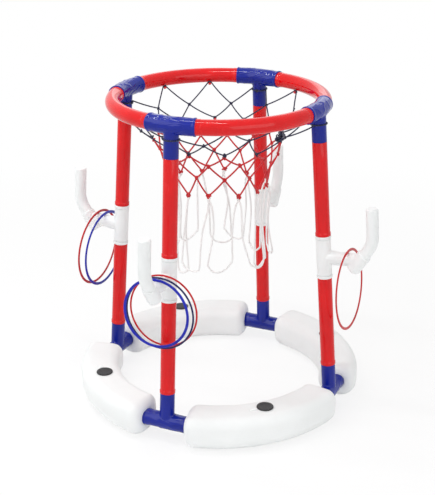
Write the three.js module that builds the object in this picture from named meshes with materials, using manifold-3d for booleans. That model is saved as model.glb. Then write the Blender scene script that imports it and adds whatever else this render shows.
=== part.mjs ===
// Poolside basketball hoop: a ring of four hollow floats, four tube legs with side hooks, a round
// rim with a hanging cord net, and thin toss rings that hang on the hooks.
// Millimetres, +Z up, origin on the ground under the middle of the base ring.
// The front leg stands on -Y, the left one on -X, the back one on +Y and the right one on +X.
// Inside a leg's own group +Z runs up the leg, +Y points outward and +X runs along the ring.
import * as THREE from 'three';
import { mergeVertices } from 'three/addons/utils/BufferGeometryUtils.js';
import Module from 'manifold-3d';

const wasm = await Module();
wasm.setup();

// Rings and legs
const rimRadius = 200;
const baseRadius = 240;
const legTubeRadius = 14;
const legTubeWall = 1.6;
const legTubeLength = 183;
const bellRadius = 14.9;
const bellLength = 6;
const baseStubLength = 59;
const rimStubLength = 59;
const spigotLength = 22;
const fittingWall = 2.4;

// Fits
const clearance = 0.3;
const overrun = 2;

// Floats
const floatRadius = 244;
const floatWidth = 77;
const floatHeight = 71;
const floatTopCorner = 21;
const floatFootCorner = 32;
const floatShoulder = 18;
const floatWall = 3;
const teeShowing = 84;
const pocketDepth = 28;

// Filler necks and plugs
const neckBoreRadius = 10;
const neckWall = 2.5;
const neckDepth = 14;
const plugCapRadius = 16;
const plugCapHeight = 3.2;
const plugCapEdge = 1.4;
const plugShankLength = 12;
const plugTaper = 1;
const plugBoreRadius = 7.2;
const plugLugLength = 16;
const plugLugWidth = 10;
const plugLugHeight = 4;
const plugLugFlat = 5;

// Base tees
const crossTubeRadius = 15.5;
const teeRise = 37;

// Hook tees and hook tubes
const sleeveLength = 85;
const sleeveRadius = 14.4;
const collarRadius = 15.3;
const collarLength = 5;
const armRadius = 11;
const armWall = 2;
const cupReach = 74;
const cupRadius = 13.4;
const cupWall = 1.4;
const cupDrop = 30;
const cupRise = 12;
const cupFloor = 4;
const cupNoseShare = 0.72;
const hookLean = THREE.MathUtils.degToRad(38);
const hookTubeWall = 2;
const hookPostReach = 98;
const hookPostTop = 103;
const hookBendRadius = 56;
const webThickness = 5;
const webDepth = 17;

// Rim
const rimTubeRadius = 14.5;
const rimTubeWall = 2;
const rimTubeGap = 14;
const rimSleeveRadius = 16.4;
const rimBeadRadius = 17.2;
const rimBeadLength = 4;
const rimSleeveLength = 92;

// Net pegs
const pegStemRadius = 1.7;
const pegHeadRadius = 3;
const pegStemLength = 5.6;
const pegHeadLength = 2;
const pegDroop = THREE.MathUtils.degToRad(45);

// Net: the radius of each row of knots and how far it hangs below the middle of the rim tube
const meshCount = 12;
const netLean = THREE.MathUtils.degToRad(25);
const cordHalf = 1.4;
const knotReach = 3.4;
const knotBulge = 1;
const tailLength = 5;
const redSetbackShare = 0.22;
const whiteSetbackShare = 0.75;
const cordLoopRadius = 4;
const stubLoopDrop = 25;
const blueMiddleRow = { radius: 156, drop: 44 };
const blueLowRow = { radius: 124, drop: 73 };
const redHighRow = { radius: 112, drop: 100 };
const redMiddleRow = { radius: 102, drop: 129 };
const redLowRow = { radius: 92, drop: 166 };
const loopRow = { radius: 95, drop: 334 };
const loopSpacing = 8;
const loopBendShare = 0.15;

// Toss rings: how far out on its arm each one hangs, its outer radius and its section's width
const tossThickness = 2.6;
const frontRedRing = { reach: 22, radius: 69, width: 3.4 };
const frontNavyRing = { reach: 37, radius: 69, width: 3.4 };
const frontBlueRing = { reach: 52, radius: 66, width: 5.2 };
const leftBlueRing = { reach: 38, radius: 80, width: 6 };
const leftRedRing = { reach: 54, radius: 80, width: 5.4 };
const rightRedRing = { reach: 49, radius: 79, width: 5.4 };

// Facets
const tubeSides = 12;
const hookSides = 12;
const boreSides = 8;
const pegSides = 6;
const rimSteps = 7;
const gripSteps = 2;
const floatSteps = 5;
const shoulderSteps = 2;
const cornerSteps = 2;
const hookSteps = 3;
const loopSteps = 4;
const tossSteps = 16;
const tossSides = 4;

// Worked-out sizes
const quarter = Math.PI / 2;
const legCount = 4;
const boreRadius = legTubeRadius - legTubeWall;
const facetShare = Math.cos(Math.PI / tubeSides);
const spigotRadius = boreRadius * facetShare - clearance;
const boreFacetShare = Math.cos(Math.PI / boreSides);
const pocketRadius = (crossTubeRadius + clearance) / boreFacetShare;
const spigotBore = spigotRadius - fittingWall;
const lowerTubeStart = baseStubLength + clearance;
const sleeveStart = lowerTubeStart + legTubeLength + clearance;
const upperTubeStart = sleeveStart + sleeveLength + clearance;
const rimStubStart = upperTubeStart + legTubeLength + clearance;
const legLength = rimStubStart + rimStubLength;
const legSplay = baseRadius - rimRadius;
const legTilt = Math.asin(legSplay / legLength);
const rimHeight = teeRise + Math.sqrt(legLength ** 2 - legSplay ** 2);
const armHeight = sleeveStart + sleeveLength / 2;
const hookTubeRadius = cupRadius - cupWall - clearance;
const crossTubeHalf = teeShowing / 2 + pocketDepth - clearance;

const finishes = {
  red: new THREE.MeshStandardMaterial({ color: 0xd4171b, roughness: 0.28, metalness: 0 }),
  blue: new THREE.MeshStandardMaterial({ color: 0x1d1f8f, roughness: 0.25, metalness: 0 }),
  white: new THREE.MeshStandardMaterial({ color: 0xf2f2f0, roughness: 0.4, metalness: 0 }),
  grey: new THREE.MeshStandardMaterial({ color: 0x3c3c3e, roughness: 0.6, metalness: 0 }),
  blueCord: new THREE.MeshStandardMaterial({ color: 0x1c1f5e, roughness: 0.8, metalness: 0 }),
  redCord: new THREE.MeshStandardMaterial({ color: 0xc81e22, roughness: 0.8, metalness: 0 }),
  whiteCord: new THREE.MeshStandardMaterial({ color: 0xf4f4f0, roughness: 0.8, metalness: 0 }),
  ringRed: new THREE.MeshStandardMaterial({ color: 0xc8161c, roughness: 0.35, metalness: 0 }),
  ringBlue: new THREE.MeshStandardMaterial({ color: 0x1a22c0, roughness: 0.35, metalness: 0 }),
  ringNavy: new THREE.MeshStandardMaterial({ color: 0x141c66, roughness: 0.35, metalness: 0 }),
};

const model = new THREE.Group();

// Closed geometry and solid helpers

function toSolid(geometry) {
  const bare = geometry.clone();
  bare.deleteAttribute('normal');
  bare.deleteAttribute('uv');
  const merged = mergeVertices(bare);
  const vertProperties = new Float32Array(merged.attributes.position.array);
  const triVerts = new Uint32Array(merged.index.array);
  return new wasm.Manifold(new wasm.Mesh({ numProp: 3, vertProperties, triVerts }));
}

function toGeometry(solid) {
  const { vertProperties, triVerts, numProp } = solid.getMesh();
  const points = [];
  for (let i = 0; i < vertProperties.length; i += numProp) {
    points.push(vertProperties[i], vertProperties[i + 1], vertProperties[i + 2]);
  }
  const geometry = new THREE.BufferGeometry();
  geometry.setAttribute('position', new THREE.Float32BufferAttribute(points, 3));
  geometry.setIndex([...triVerts]);
  geometry.computeVertexNormals();
  return geometry;
}

function moved(geometry, matrix) {
  return geometry.clone().applyMatrix4(matrix);
}

// A solid turned about Z from [radius, height] points
function turned(profile, sides = tubeSides) {
  const points = profile.map(([radius, height]) => new THREE.Vector2(radius, height));
  return new THREE.LatheGeometry(points, sides).rotateX(quarter);
}

// A round bar along +Z
function bar(radius, from, to, sides = tubeSides) {
  return turned([[0, from], [radius, from], [radius, to], [0, to]], sides);
}

// Rings of points, each ring joined to the next, closed by a fan at both ends
function loft(rings) {
  const size = rings[0].length;
  const points = rings.flat();
  const faces = [];
  for (let i = 0; i + 1 < rings.length; i += 1) {
    for (let j = 0; j < size; j += 1) {
      const next = (j + 1) % size;
      const a = i * size + j;
      const b = i * size + next;
      faces.push(a, b, b + size, a, b + size, a + size);
    }
  }
  const last = (rings.length - 1) * size;
  for (let j = 1; j + 1 < size; j += 1) {
    faces.push(0, j + 1, j, last, last + j, last + j + 1);
  }
  const geometry = new THREE.BufferGeometry().setFromPoints(points);
  geometry.setIndex(faces);
  return geometry;
}

// A round section of changing radius that follows a level arc about Z.
// Stations are [length along the arc from +Y towards +X, section radius].
function arcTube(radius, stations, sides) {
  const rings = stations.map(([length, section]) => {
    const turn = length / radius;
    const outward = new THREE.Vector3(Math.sin(turn), Math.cos(turn), 0);
    return Array.from({ length: sides }, (_, i) => {
      const angle = (i / sides) * 2 * Math.PI;
      const reach = radius + section * Math.cos(angle);
      return outward.clone().multiplyScalar(reach).setZ(section * Math.sin(angle));
    });
  });
  return loft(rings);
}

function evenLengths(from, to, steps) {
  return Array.from({ length: steps + 1 }, (_, i) => from + ((to - from) * i) / steps);
}

function addPart(group, name, solid, material) {
  const mesh = new THREE.Mesh(toGeometry(solid), material);
  mesh.name = name;
  group.add(mesh);
  return mesh;
}

function turnX(angle) {
  return new THREE.Matrix4().makeRotationX(angle);
}

// Frames of the four legs: the outer group turns about Z, the inner one leans with the leg

const legs = ['front', 'left', 'back', 'right'].map((side, index) => {
  const level = new THREE.Group();
  level.rotation.z = Math.PI - index * quarter;
  const leaning = new THREE.Group();
  leaning.position.set(0, baseRadius, teeRise);
  leaning.rotation.x = legTilt;
  level.add(leaning);
  model.add(level);
  return { side, level, leaning };
});

// Floats: rounded-square section on an arc, rounded shoulders, a pocket in each end for a tee and
// a neck on top. They are hollow, and the cavity opens through the neck.

function roundedSection(inset) {
  const halfWidth = floatWidth / 2 - inset;
  const halfHeight = floatHeight / 2 - inset;
  const points = [];
  for (let side = 0; side < legCount; side += 1) {
    const corner = Math.max((side < 2 ? floatTopCorner : floatFootCorner) - inset, clearance);
    for (let i = 0; i <= cornerSteps; i += 1) {
      const turn = (side + i / cornerSteps) * quarter;
      const towardX = side === 0 || side === 3 ? 1 : -1;
      const towardY = side < 2 ? 1 : -1;
      const x = towardX * (halfWidth - corner) + corner * Math.cos(turn);
      const y = towardY * (halfHeight - corner) + corner * Math.sin(turn);
      points.push([x, y]);
    }
  }
  return points;
}

// A float body about the +Y direction, with its walls moved in by an inset
function floatBody(inset, endSteps) {
  const endAngle = Math.PI / legCount - Math.atan(teeShowing / 2 / baseRadius);
  const end = endAngle * floatRadius - inset;
  const shoulder = floatShoulder - inset / 2;
  const stations = [];
  for (let i = 0; i <= endSteps; i += 1) {
    const turn = (i / endSteps) * quarter;
    const along = end - shoulder * (1 - Math.sin(turn));
    stations.push([along, shoulder * (1 - Math.cos(turn))]);
  }
  stations.sort((a, b) => a[0] - b[0]);
  const middle = Array.from({ length: floatSteps - 1 }, (_, i) => {
    const share = (i + 1) / floatSteps;
    return [(end - shoulder) * (2 * share - 1), 0];
  });
  const left = stations.map(([along, narrowing]) => [-along, narrowing]).reverse();
  const all = [...left, ...middle, ...stations];
  const rings = all.map(([along, narrowing]) => {
    const turn = along / floatRadius;
    return roundedSection(inset + narrowing).map(([out, up]) => {
      const reach = floatRadius + out;
      const height = up + floatHeight / 2;
      return new THREE.Vector3(reach * Math.sin(turn), reach * Math.cos(turn), height);
    });
  });
  return loft(rings);
}

// Bars that lie where the cross tubes of the two neighbouring tees plug in
function crossBars(radius, depth) {
  const from = teeShowing / 2 - floatShoulder;
  const along = bar(radius, from, teeShowing / 2 + depth, boreSides);
  along.rotateY(quarter).translate(0, baseRadius, teeRise);
  const one = toSolid(moved(along, new THREE.Matrix4().makeRotationZ(quarter / 2)));
  const other = toSolid(moved(mirroredX(along), new THREE.Matrix4().makeRotationZ(-quarter / 2)));
  return one.add(other);
}

function mirroredX(geometry) {
  const copy = geometry.clone().scale(-1, 1, 1);
  const index = copy.index.array;
  for (let i = 0; i < index.length; i += 3) {
    const first = index[i];
    index[i] = index[i + 1];
    index[i + 1] = first;
  }
  return copy;
}

// A ramp beside the plug, highest next to it
function fillerLug() {
  const outline = new THREE.Shape();
  outline.moveTo(0, -overrun);
  outline.lineTo(plugLugLength, -overrun);
  outline.lineTo(plugLugLength, 0);
  outline.lineTo(plugLugFlat, plugLugHeight);
  outline.lineTo(0, plugLugHeight);
  outline.closePath();
  const block = new THREE.ExtrudeGeometry(outline, { depth: plugLugWidth, bevelEnabled: false });
  const beside = plugCapRadius + overrun;
  block.rotateX(quarter).translate(beside, floatRadius + plugLugWidth / 2, floatHeight);
  return toSolid(block);
}

function makeFloat() {
  const neckEnd = floatHeight - neckDepth;
  const top = floatHeight + overrun;
  const inNeck = (radius, from) => toSolid(bar(radius, from, top).translate(0, floatRadius, 0));
  const neck = inNeck(neckBoreRadius + neckWall, neckEnd);
  const neckBore = inNeck(neckBoreRadius, neckEnd - overrun);
  const cavity = toSolid(floatBody(floatWall, 1))
    .subtract(crossBars(pocketRadius + floatWall, pocketDepth + floatWall))
    .subtract(neck);
  return toSolid(floatBody(0, shoulderSteps))
    .add(fillerLug())
    .subtract(cavity)
    .subtract(crossBars(pocketRadius, pocketDepth))
    .subtract(neckBore);
}

function makePlug() {
  const shank = neckBoreRadius - clearance;
  return toSolid(turned([
    [0, clearance],
    [plugBoreRadius, clearance],
    [plugBoreRadius, -plugShankLength],
    [shank - plugTaper, -plugShankLength],
    [shank, clearance],
    [plugCapRadius, clearance],
    [plugCapRadius, plugCapHeight - plugCapEdge],
    [plugCapRadius - plugCapEdge, plugCapHeight],
    [0, plugCapHeight],
  ]));
}

for (let index = 0; index < legCount; index += 1) {
  const group = new THREE.Group();
  group.rotation.z = Math.PI - (index + 1 / 2) * quarter;
  addPart(group, `float_${index + 1}`, makeFloat(), finishes.white);
  const plug = addPart(group, `filler_plug_${index + 1}`, makePlug(), finishes.grey);
  plug.position.set(0, floatRadius, floatHeight);
  model.add(group);
}

// Base tees: a cross tube that plugs into two floats, a stub up the leg and a spigot

function makeBaseTee() {
  const cross = toSolid(bar(crossTubeRadius, -crossTubeHalf, crossTubeHalf).rotateY(quarter));
  const crossBoreHalf = crossTubeHalf + overrun;
  const crossBoreRadius = crossTubeRadius - fittingWall;
  const crossBar = bar(crossBoreRadius, -crossBoreHalf, crossBoreHalf, boreSides);
  const crossBore = toSolid(crossBar.rotateY(quarter));
  const spigotEnd = baseStubLength + spigotLength;
  const stub = toSolid(bar(legTubeRadius, 0, baseStubLength));
  const spigot = toSolid(bar(spigotRadius, 0, spigotEnd));
  const bore = toSolid(bar(spigotBore, 0, spigotEnd + overrun, boreSides));
  return cross.add(stub).add(spigot).subtract(crossBore).subtract(bore);
}

// Leg tubes, belled at the lower end where they go over a spigot

function makeLegTube() {
  return toSolid(turned([
    [boreRadius, 0],
    [bellRadius, 0],
    [legTubeRadius, bellLength],
    [legTubeRadius, legTubeLength],
    [boreRadius, legTubeLength],
    [boreRadius, 0],
  ]));
}

// Hook tees: a sleeve with a collar and a spigot at both ends, an arm with a web under it and a
// slanting cup at the end of the arm

function makeSleeve() {
  const half = sleeveLength / 2;
  const inner = half - collarLength;
  return toSolid(turned([
    [0, -half - spigotLength],
    [spigotRadius, -half - spigotLength],
    [spigotRadius, -half],
    [collarRadius, -half],
    [collarRadius, -inner],
    [sleeveRadius, -inner],
    [sleeveRadius, inner],
    [collarRadius, inner],
    [collarRadius, half],
    [spigotRadius, half],
    [spigotRadius, half + spigotLength],
    [0, half + spigotLength],
  ]));
}

function makeWeb() {
  const outline = new THREE.Shape();
  outline.moveTo(0, 0);
  outline.lineTo(cupReach, 0);
  outline.lineTo(cupReach - cupRadius, -webDepth);
  outline.lineTo(sleeveRadius, -webDepth);
  outline.lineTo(0, -webDepth);
  outline.closePath();
  const plate = new THREE.ExtrudeGeometry(outline, { depth: webThickness, bevelEnabled: false });
  plate.translate(0, 0, -webThickness / 2).rotateX(quarter).rotateZ(quarter);
  return toSolid(plate);
}

// The cup's axis crosses the arm's axis at the cup's reach and leans outward
function inCup(geometry) {
  return toSolid(geometry.applyMatrix4(turnX(-hookLean)).translate(0, cupReach, 0));
}

function makeHookTee() {
  const boreHalf = sleeveLength / 2 + spigotLength + overrun;
  const armBoreEnd = cupReach - 2 * cupRadius;
  const noseRadius = cupRadius * cupNoseShare;
  const cup = inCup(turned([
    [0, -cupDrop],
    [noseRadius, -cupDrop],
    [cupRadius, -cupDrop + cupRadius - noseRadius],
    [cupRadius, cupRise],
    [0, cupRise],
  ], hookSides));
  const cupTop = cupRise + overrun;
  const cupBore = inCup(bar(cupRadius - cupWall, cupFloor - cupDrop, cupTop, hookSides));
  const arm = toSolid(bar(armRadius, 0, cupReach, hookSides).rotateX(-quarter));
  const armBore = toSolid(bar(armRadius - armWall, 0, armBoreEnd, boreSides).rotateX(-quarter));
  const bore = toSolid(bar(spigotBore, -boreHalf, boreHalf, boreSides));
  const whole = makeSleeve().add(arm).add(makeWeb()).add(cup);
  return whole.subtract(cupBore).subtract(armBore).subtract(bore);
}

// Hook tubes: out of the cup, round a bend and straight up, closed at the top

// Points of the route, each with the lean of the tube there
function hookRoute() {
  const bendShift = hookBendRadius * (1 - Math.cos(hookLean));
  const bendRise = hookBendRadius * Math.sin(hookLean);
  const bendStart = (hookPostReach - cupReach - bendShift) / Math.tan(hookLean);
  const seat = new THREE.Vector3(0, 0, cupFloor + clearance - cupDrop);
  const start = seat.applyMatrix4(turnX(-hookLean)).add(new THREE.Vector3(0, cupReach, 0));
  const bend = evenLengths(hookLean, 0, hookSteps).map((lean) => {
    const out = hookPostReach - hookBendRadius * (1 - Math.cos(lean));
    const up = bendStart + bendRise - hookBendRadius * Math.sin(lean);
    return [new THREE.Vector3(0, out, up), lean];
  });
  const top = new THREE.Vector3(0, hookPostReach, hookPostTop);
  return [[start, hookLean], ...bend, [top, 0]];
}

// A round section along the route, made longer at its lower and upper ends
function hookTubeBody(radius, sides, lower, upper) {
  const route = hookRoute();
  const slant = new THREE.Vector3(0, Math.sin(hookLean), Math.cos(hookLean));
  route[0][0].addScaledVector(slant, -lower);
  route[route.length - 1][0].z += upper;
  const rings = route.map(([point, lean]) => Array.from({ length: sides }, (_, i) => {
    const turn = (i / sides) * 2 * Math.PI;
    const spoke = new THREE.Vector3(radius * Math.cos(turn), radius * Math.sin(turn), 0);
    return spoke.applyMatrix4(turnX(-lean)).add(point);
  }));
  return toSolid(loft(rings));
}

function makeHookTube() {
  const boreRadius = hookTubeRadius - hookTubeWall;
  const bore = hookTubeBody(boreRadius, boreSides, overrun, -hookTubeWall);
  return hookTubeBody(hookTubeRadius, hookSides, 0, 0).subtract(bore);
}

// Rim tees: a curved sleeve with beaded ends round two rim tubes, and a stub down the leg

// Lengths from a leg at which a rim tube and the sleeve round it share their facets
const gripLengths = evenLengths(rimTubeGap / 2, rimSleeveLength / 2, gripSteps);

// Pairs of [length, radius] on both sides of a leg
function bothSides(stations) {
  const other = stations.map(([length, section]) => [-length, section]).reverse();
  return [...other, ...stations];
}

function makeSleeveSolids() {
  const half = rimSleeveLength / 2;
  const inner = half - rimBeadLength;
  const plain = gripLengths.slice(0, -1).map((length) => [length, rimSleeveRadius]);
  const bead = [
    [inner - rimBeadRadius + rimSleeveRadius, rimSleeveRadius],
    [inner, rimBeadRadius],
    [half, rimBeadRadius],
  ];
  const boreRadius = rimTubeRadius / facetShare + clearance;
  const bore = [...gripLengths, half + overrun].map((length) => [length, boreRadius]);
  return [bothSides([...plain, ...bead]), bothSides(bore)].map((stations) => {
    return toSolid(arcTube(rimRadius, stations, tubeSides));
  });
}

// Geometry along a leg, seen from the middle of the rim circle
function legPart(geometry) {
  const hung = geometry.translate(0, 0, -legLength).applyMatrix4(turnX(legTilt));
  return toSolid(hung.translate(0, rimRadius, 0));
}

// A headed peg that points inward and down from the middle of the rim tube, on the +Y side
function makePeg() {
  const root = rimTubeRadius - rimTubeWall;
  const stemEnd = rimTubeRadius + pegStemLength;
  const peg = turned([
    [0, root],
    [pegStemRadius, root],
    [pegStemRadius, stemEnd],
    [pegHeadRadius, stemEnd],
    [pegHeadRadius, stemEnd + pegHeadLength],
    [0, stemEnd + pegHeadLength],
  ], pegSides);
  return toSolid(peg.applyMatrix4(turnX(quarter + pegDroop)).translate(0, rimRadius, 0));
}

function makeRimTee() {
  const [sleeve, hollow] = makeSleeveSolids();
  const stub = legPart(bar(legTubeRadius, rimStubStart, legLength));
  const spigot = legPart(bar(spigotRadius, rimStubStart - spigotLength, legLength));
  const bore = legPart(bar(spigotBore, rimStubStart - spigotLength - overrun, legLength, boreSides));
  return sleeve.add(stub).add(spigot).subtract(bore).subtract(hollow);
}

// Rim tubes: a quarter of the circle each, with two pegs, their ends inside the tee sleeves

function makeRimTube() {
  const half = (quarter * rimRadius) / 2;
  const free = half - rimSleeveLength / 2;
  const grip = gripLengths.slice(0, -1).map((length) => length - half);
  const otherGrip = grip.map((length) => -length).reverse();
  const lengths = [...grip, ...evenLengths(-free, free, rimSteps), ...otherGrip];
  const boreLengths = evenLengths(grip[0] - overrun, overrun - grip[0], rimSteps);
  let tube = toSolid(arcTube(rimRadius, lengths.map((length) => [length, rimTubeRadius]), tubeSides));
  const pitch = (2 * Math.PI) / meshCount;
  const pegs = meshCount / legCount - 1;
  for (let i = 0; i < pegs; i += 1) {
    const turn = (i - (pegs - 1) / 2) * pitch;
    tube = tube.add(makePeg().rotate([0, 0, THREE.MathUtils.radToDeg(turn)]));
  }
  const bore = boreLengths.map((length) => [length, rimTubeRadius - rimTubeWall]);
  return tube.subtract(toSolid(arcTube(rimRadius, bore, boreSides)));
}

for (const { side, level, leaning } of legs) {
  addPart(leaning, `base_tee_${side}`, makeBaseTee(), finishes.blue);
  addPart(leaning, `lower_leg_${side}`, makeLegTube(), finishes.red).position.z = lowerTubeStart;
  addPart(leaning, `hook_tee_${side}`, makeHookTee(), finishes.white).position.z = armHeight;
  addPart(leaning, `hook_tube_${side}`, makeHookTube(), finishes.white).position.z = armHeight;
  addPart(leaning, `upper_leg_${side}`, makeLegTube(), finishes.red).position.z = upperTubeStart;
  addPart(level, `rim_tee_${side}`, makeRimTee(), finishes.blue).position.z = rimHeight;
}

for (let index = 0; index < legCount; index += 1) {
  const group = new THREE.Group();
  group.rotation.z = Math.PI - (index + 1 / 2) * quarter;
  group.position.z = rimHeight;
  addPart(group, `rim_tube_${index + 1}`, makeRimTube(), finishes.red);
  model.add(group);
}

// Net: meshes between rows of knots that step half a mesh round from row to row. Each colour is
// one cord, and its top knots lie just below the knots of the colour above.

function onRow(row, step) {
  const turn = (step / meshCount) * 2 * Math.PI;
  return new THREE.Vector3(row.radius * Math.sin(turn), -row.radius * Math.cos(turn), -row.drop);
}

// Outward from the net's side at a step, leaning up with the slope of the net
function netNormal(step) {
  const turn = (step / meshCount) * 2 * Math.PI;
  const flat = Math.cos(netLean);
  return new THREE.Vector3(flat * Math.sin(turn), -flat * Math.cos(turn), Math.sin(netLean));
}

// Cord work is one closed mesh: runs of square-section cord that meet at knots
class CordWork {
  constructor() {
    this.points = [];
    this.faces = [];
    this.knots = [];
  }

  knot(place, normal, reach = knotReach) {
    const ends = [];
    this.knots.push({ place, normal, reach, ends });
    return this.knots.length - 1;
  }

  quad(a, b, c, d) {
    this.faces.push(a, b, c, a, c, d);
  }

  // Four corners, clockwise from the outer left one when seen along the cord
  section(middle, along, normal) {
    const side = normal.clone().cross(along).normalize().multiplyScalar(cordHalf);
    const up = along.clone().cross(side).normalize().multiplyScalar(cordHalf);
    const corners = [[1, 1], [-1, 1], [-1, -1], [1, -1]];
    return corners.map(([left, outer]) => {
      this.points.push(middle.clone().addScaledVector(side, left).addScaledVector(up, outer));
      return this.points.length - 1;
    });
  }

  run(from, to, via = []) {
    const start = this.knots[from];
    const finish = this.knots[to];
    const stops = [start, ...via, finish];
    const heading = (i, j) => stops[j].place.clone().sub(stops[i].place).normalize();
    const last = stops.length - 1;
    const out = heading(0, 1);
    const back = heading(last, last - 1);
    const departure = start.place.clone().addScaledVector(out, start.reach);
    const sections = [this.section(departure, out, start.normal)];
    for (let i = 1; i < last; i += 1) {
      sections.push(this.section(stops[i].place, heading(i - 1, i + 1), stops[i].normal));
    }
    const arrival = finish.place.clone().addScaledVector(back, finish.reach);
    sections.push(this.section(arrival, back.clone().negate(), finish.normal));
    for (let i = 0; i < last; i += 1) {
      for (let k = 0; k < 4; k += 1) {
        const next = (k + 1) % 4;
        this.quad(sections[i][k], sections[i][next], sections[i + 1][next], sections[i + 1][k]);
      }
    }
    const [a, b, c, d] = sections[last];
    start.ends.push({ heading: out, corners: sections[0] });
    finish.ends.push({ heading: back, corners: [b, a, d, c] });
  }

  // Joins the cords that meet at a knot, in turning order about its normal
  closeKnot({ normal, ends }) {
    const east = ends[0].heading;
    const north = normal.clone().cross(east);
    const turnOf = ({ heading }) => Math.atan2(heading.dot(north), heading.dot(east));
    const order = [...ends].sort((a, b) => turnOf(a) - turnOf(b));
    order.forEach(({ corners: [left, , , leftIn] }, i) => {
      const [, right, rightIn] = order[(i + 1) % order.length].corners;
      this.quad(right, left, leftIn, rightIn);
    });
    if (order.length === 1) return;
    for (const [first, second, bulge] of [[1, 0, 1], [2, 3, -1]]) {
      const rim = order.flatMap(({ corners }) => [corners[first], corners[second]]);
      if (bulge < 0) rim.reverse();
      const middle = new THREE.Vector3();
      rim.forEach((index) => middle.addScaledVector(this.points[index], 1 / rim.length));
      this.points.push(middle.addScaledVector(normal, bulge * knotBulge));
      const centre = this.points.length - 1;
      rim.forEach((index, i) => this.faces.push(centre, index, rim[(i + 1) % rim.length]));
    }
  }

  solid() {
    this.knots.forEach((knot) => this.closeKnot(knot));
    const geometry = new THREE.BufferGeometry().setFromPoints(this.points);
    geometry.setIndex(this.faces);
    return toSolid(geometry);
  }
}

// A ring of knots, turned on by a lead of so many meshes
function knotRow(work, row, lead) {
  return evenLengths(0, meshCount - 1, meshCount - 1).map((i) => {
    return work.knot(onRow(row, i + lead), netNormal(i + lead));
  });
}

// Two cords from each upper knot to the lower knots half a mesh to either side
function zigzag(work, upper, lower, lowerLead) {
  upper.forEach((from, i) => {
    const ahead = lowerLead > 0 ? i : (i + 1) % meshCount;
    const behind = (ahead + meshCount - 1) % meshCount;
    work.run(from, lower[ahead]);
    work.run(from, lower[behind]);
  });
}

// The short end of cord that stands out of each knot of an end row, towards another row
function tails(work, knots, row, toward, lead) {
  knots.forEach((from, i) => {
    const tip = onRow(stepped(row, toward, tailLength), i + lead);
    work.run(from, work.knot(tip, netNormal(i + lead), 0));
  });
}

// The place at a length down or up the slope from one row towards another
function stepped(row, toward, length) {
  const slope = Math.hypot(toward.radius - row.radius, toward.drop - row.drop);
  const share = length / slope;
  return {
    radius: row.radius + (toward.radius - row.radius) * share,
    drop: row.drop + (toward.drop - row.drop) * share,
  };
}

// The row of top knots of the next colour, just below the tails of the colour above. Two cords
// leave a top knot on its lower side, so its body starts lower than its place, by the setback.
function nextTop(row, toward, setbackShare) {
  return stepped(row, toward, tailLength + clearance - knotReach * setbackShare);
}

// A level-sided loop of cord on the -Y side, turned round Z by a step. Its plane holds X and a
// line that climbs inward by an angle, and the two cords of a mesh leave from its two sides.
function anchorLoop(work, step, { middle, climb, radius, stops }) {
  const turn = new THREE.Matrix4().makeRotationZ((step / meshCount) * 2 * Math.PI);
  const across = new THREE.Vector3(0, Math.cos(climb), Math.sin(climb));
  const stop = (share) => {
    const angle = share * 2 * Math.PI;
    const spoke = new THREE.Vector3(Math.cos(angle), 0, 0).addScaledVector(across, Math.sin(angle));
    const place = middle.clone().addScaledVector(spoke, radius).applyMatrix4(turn);
    return { place, normal: spoke.applyMatrix4(turn) };
  };
  const [right, left] = [0, 1 / 2].map((share) => {
    const { place, normal } = stop(share);
    return work.knot(place, normal, cordHalf);
  });
  const between = (from) => evenLengths(from, from + 1 / 2, stops / 2).slice(1, -1).map(stop);
  work.run(right, left, between(0));
  work.run(left, right, between(1 / 2));
  return [left, right];
}

function pegLoop() {
  const reach = rimTubeRadius + pegStemLength / 2;
  const inward = reach * Math.cos(pegDroop);
  const middle = new THREE.Vector3(0, inward - rimRadius, -reach * Math.sin(pegDroop));
  return { middle, climb: quarter - pegDroop, radius: cordLoopRadius, stops: pegSides };
}

function stubLoop() {
  const away = rimRadius + stubLoopDrop * Math.tan(legTilt);
  const middle = new THREE.Vector3(0, -away, -stubLoopDrop);
  const radius = (legTubeRadius + clearance + cordHalf) / boreFacetShare;
  return { middle, climb: -legTilt, radius, stops: boreSides };
}

function makeBlueBand() {
  const work = new CordWork();
  const middle = knotRow(work, blueMiddleRow, 1 / 2);
  for (let i = 0; i < meshCount; i += 1) {
    const onLeg = i % (meshCount / legCount) === 0;
    const [left, right] = anchorLoop(work, i, onLeg ? stubLoop() : pegLoop());
    work.run(left, middle[(i + meshCount - 1) % meshCount]);
    work.run(right, middle[i]);
  }
  const low = knotRow(work, blueLowRow, 0);
  zigzag(work, middle, low, 0);
  tails(work, low, blueLowRow, redHighRow, 0);
  return work.solid();
}

function makeRedBand() {
  const work = new CordWork();
  const topRow = nextTop(blueLowRow, redHighRow, redSetbackShare);
  const top = knotRow(work, topRow, 0);
  const high = knotRow(work, redHighRow, 1 / 2);
  const middle = knotRow(work, redMiddleRow, 0);
  const low = knotRow(work, redLowRow, 1 / 2);
  zigzag(work, top, high, 1 / 2);
  zigzag(work, high, middle, 0);
  zigzag(work, middle, low, 1 / 2);
  tails(work, low, redLowRow, loopRow, 1 / 2);
  return work.solid();
}

// The stops of a long loop of cord that hangs between two knots of the lowest row
function hangingLoop(topDrop, step) {
  const pitch = (2 * Math.PI * loopRow.radius) / meshCount;
  const half = (pitch - loopSpacing) / 2;
  const straight = loopRow.drop - half - topDrop;
  const stops = [[-half, topDrop + straight * loopBendShare]];
  for (let i = 0; i <= loopSteps; i += 1) {
    const angle = (i / loopSteps) * Math.PI;
    stops.push([-half * Math.cos(angle), loopRow.drop - half + half * Math.sin(angle)]);
  }
  stops.push([half, topDrop + straight * loopBendShare]);
  return stops.map(([along, drop]) => {
    const at = step + along / pitch;
    return { place: onRow({ radius: loopRow.radius, drop }, at), normal: netNormal(at) };
  });
}

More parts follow.
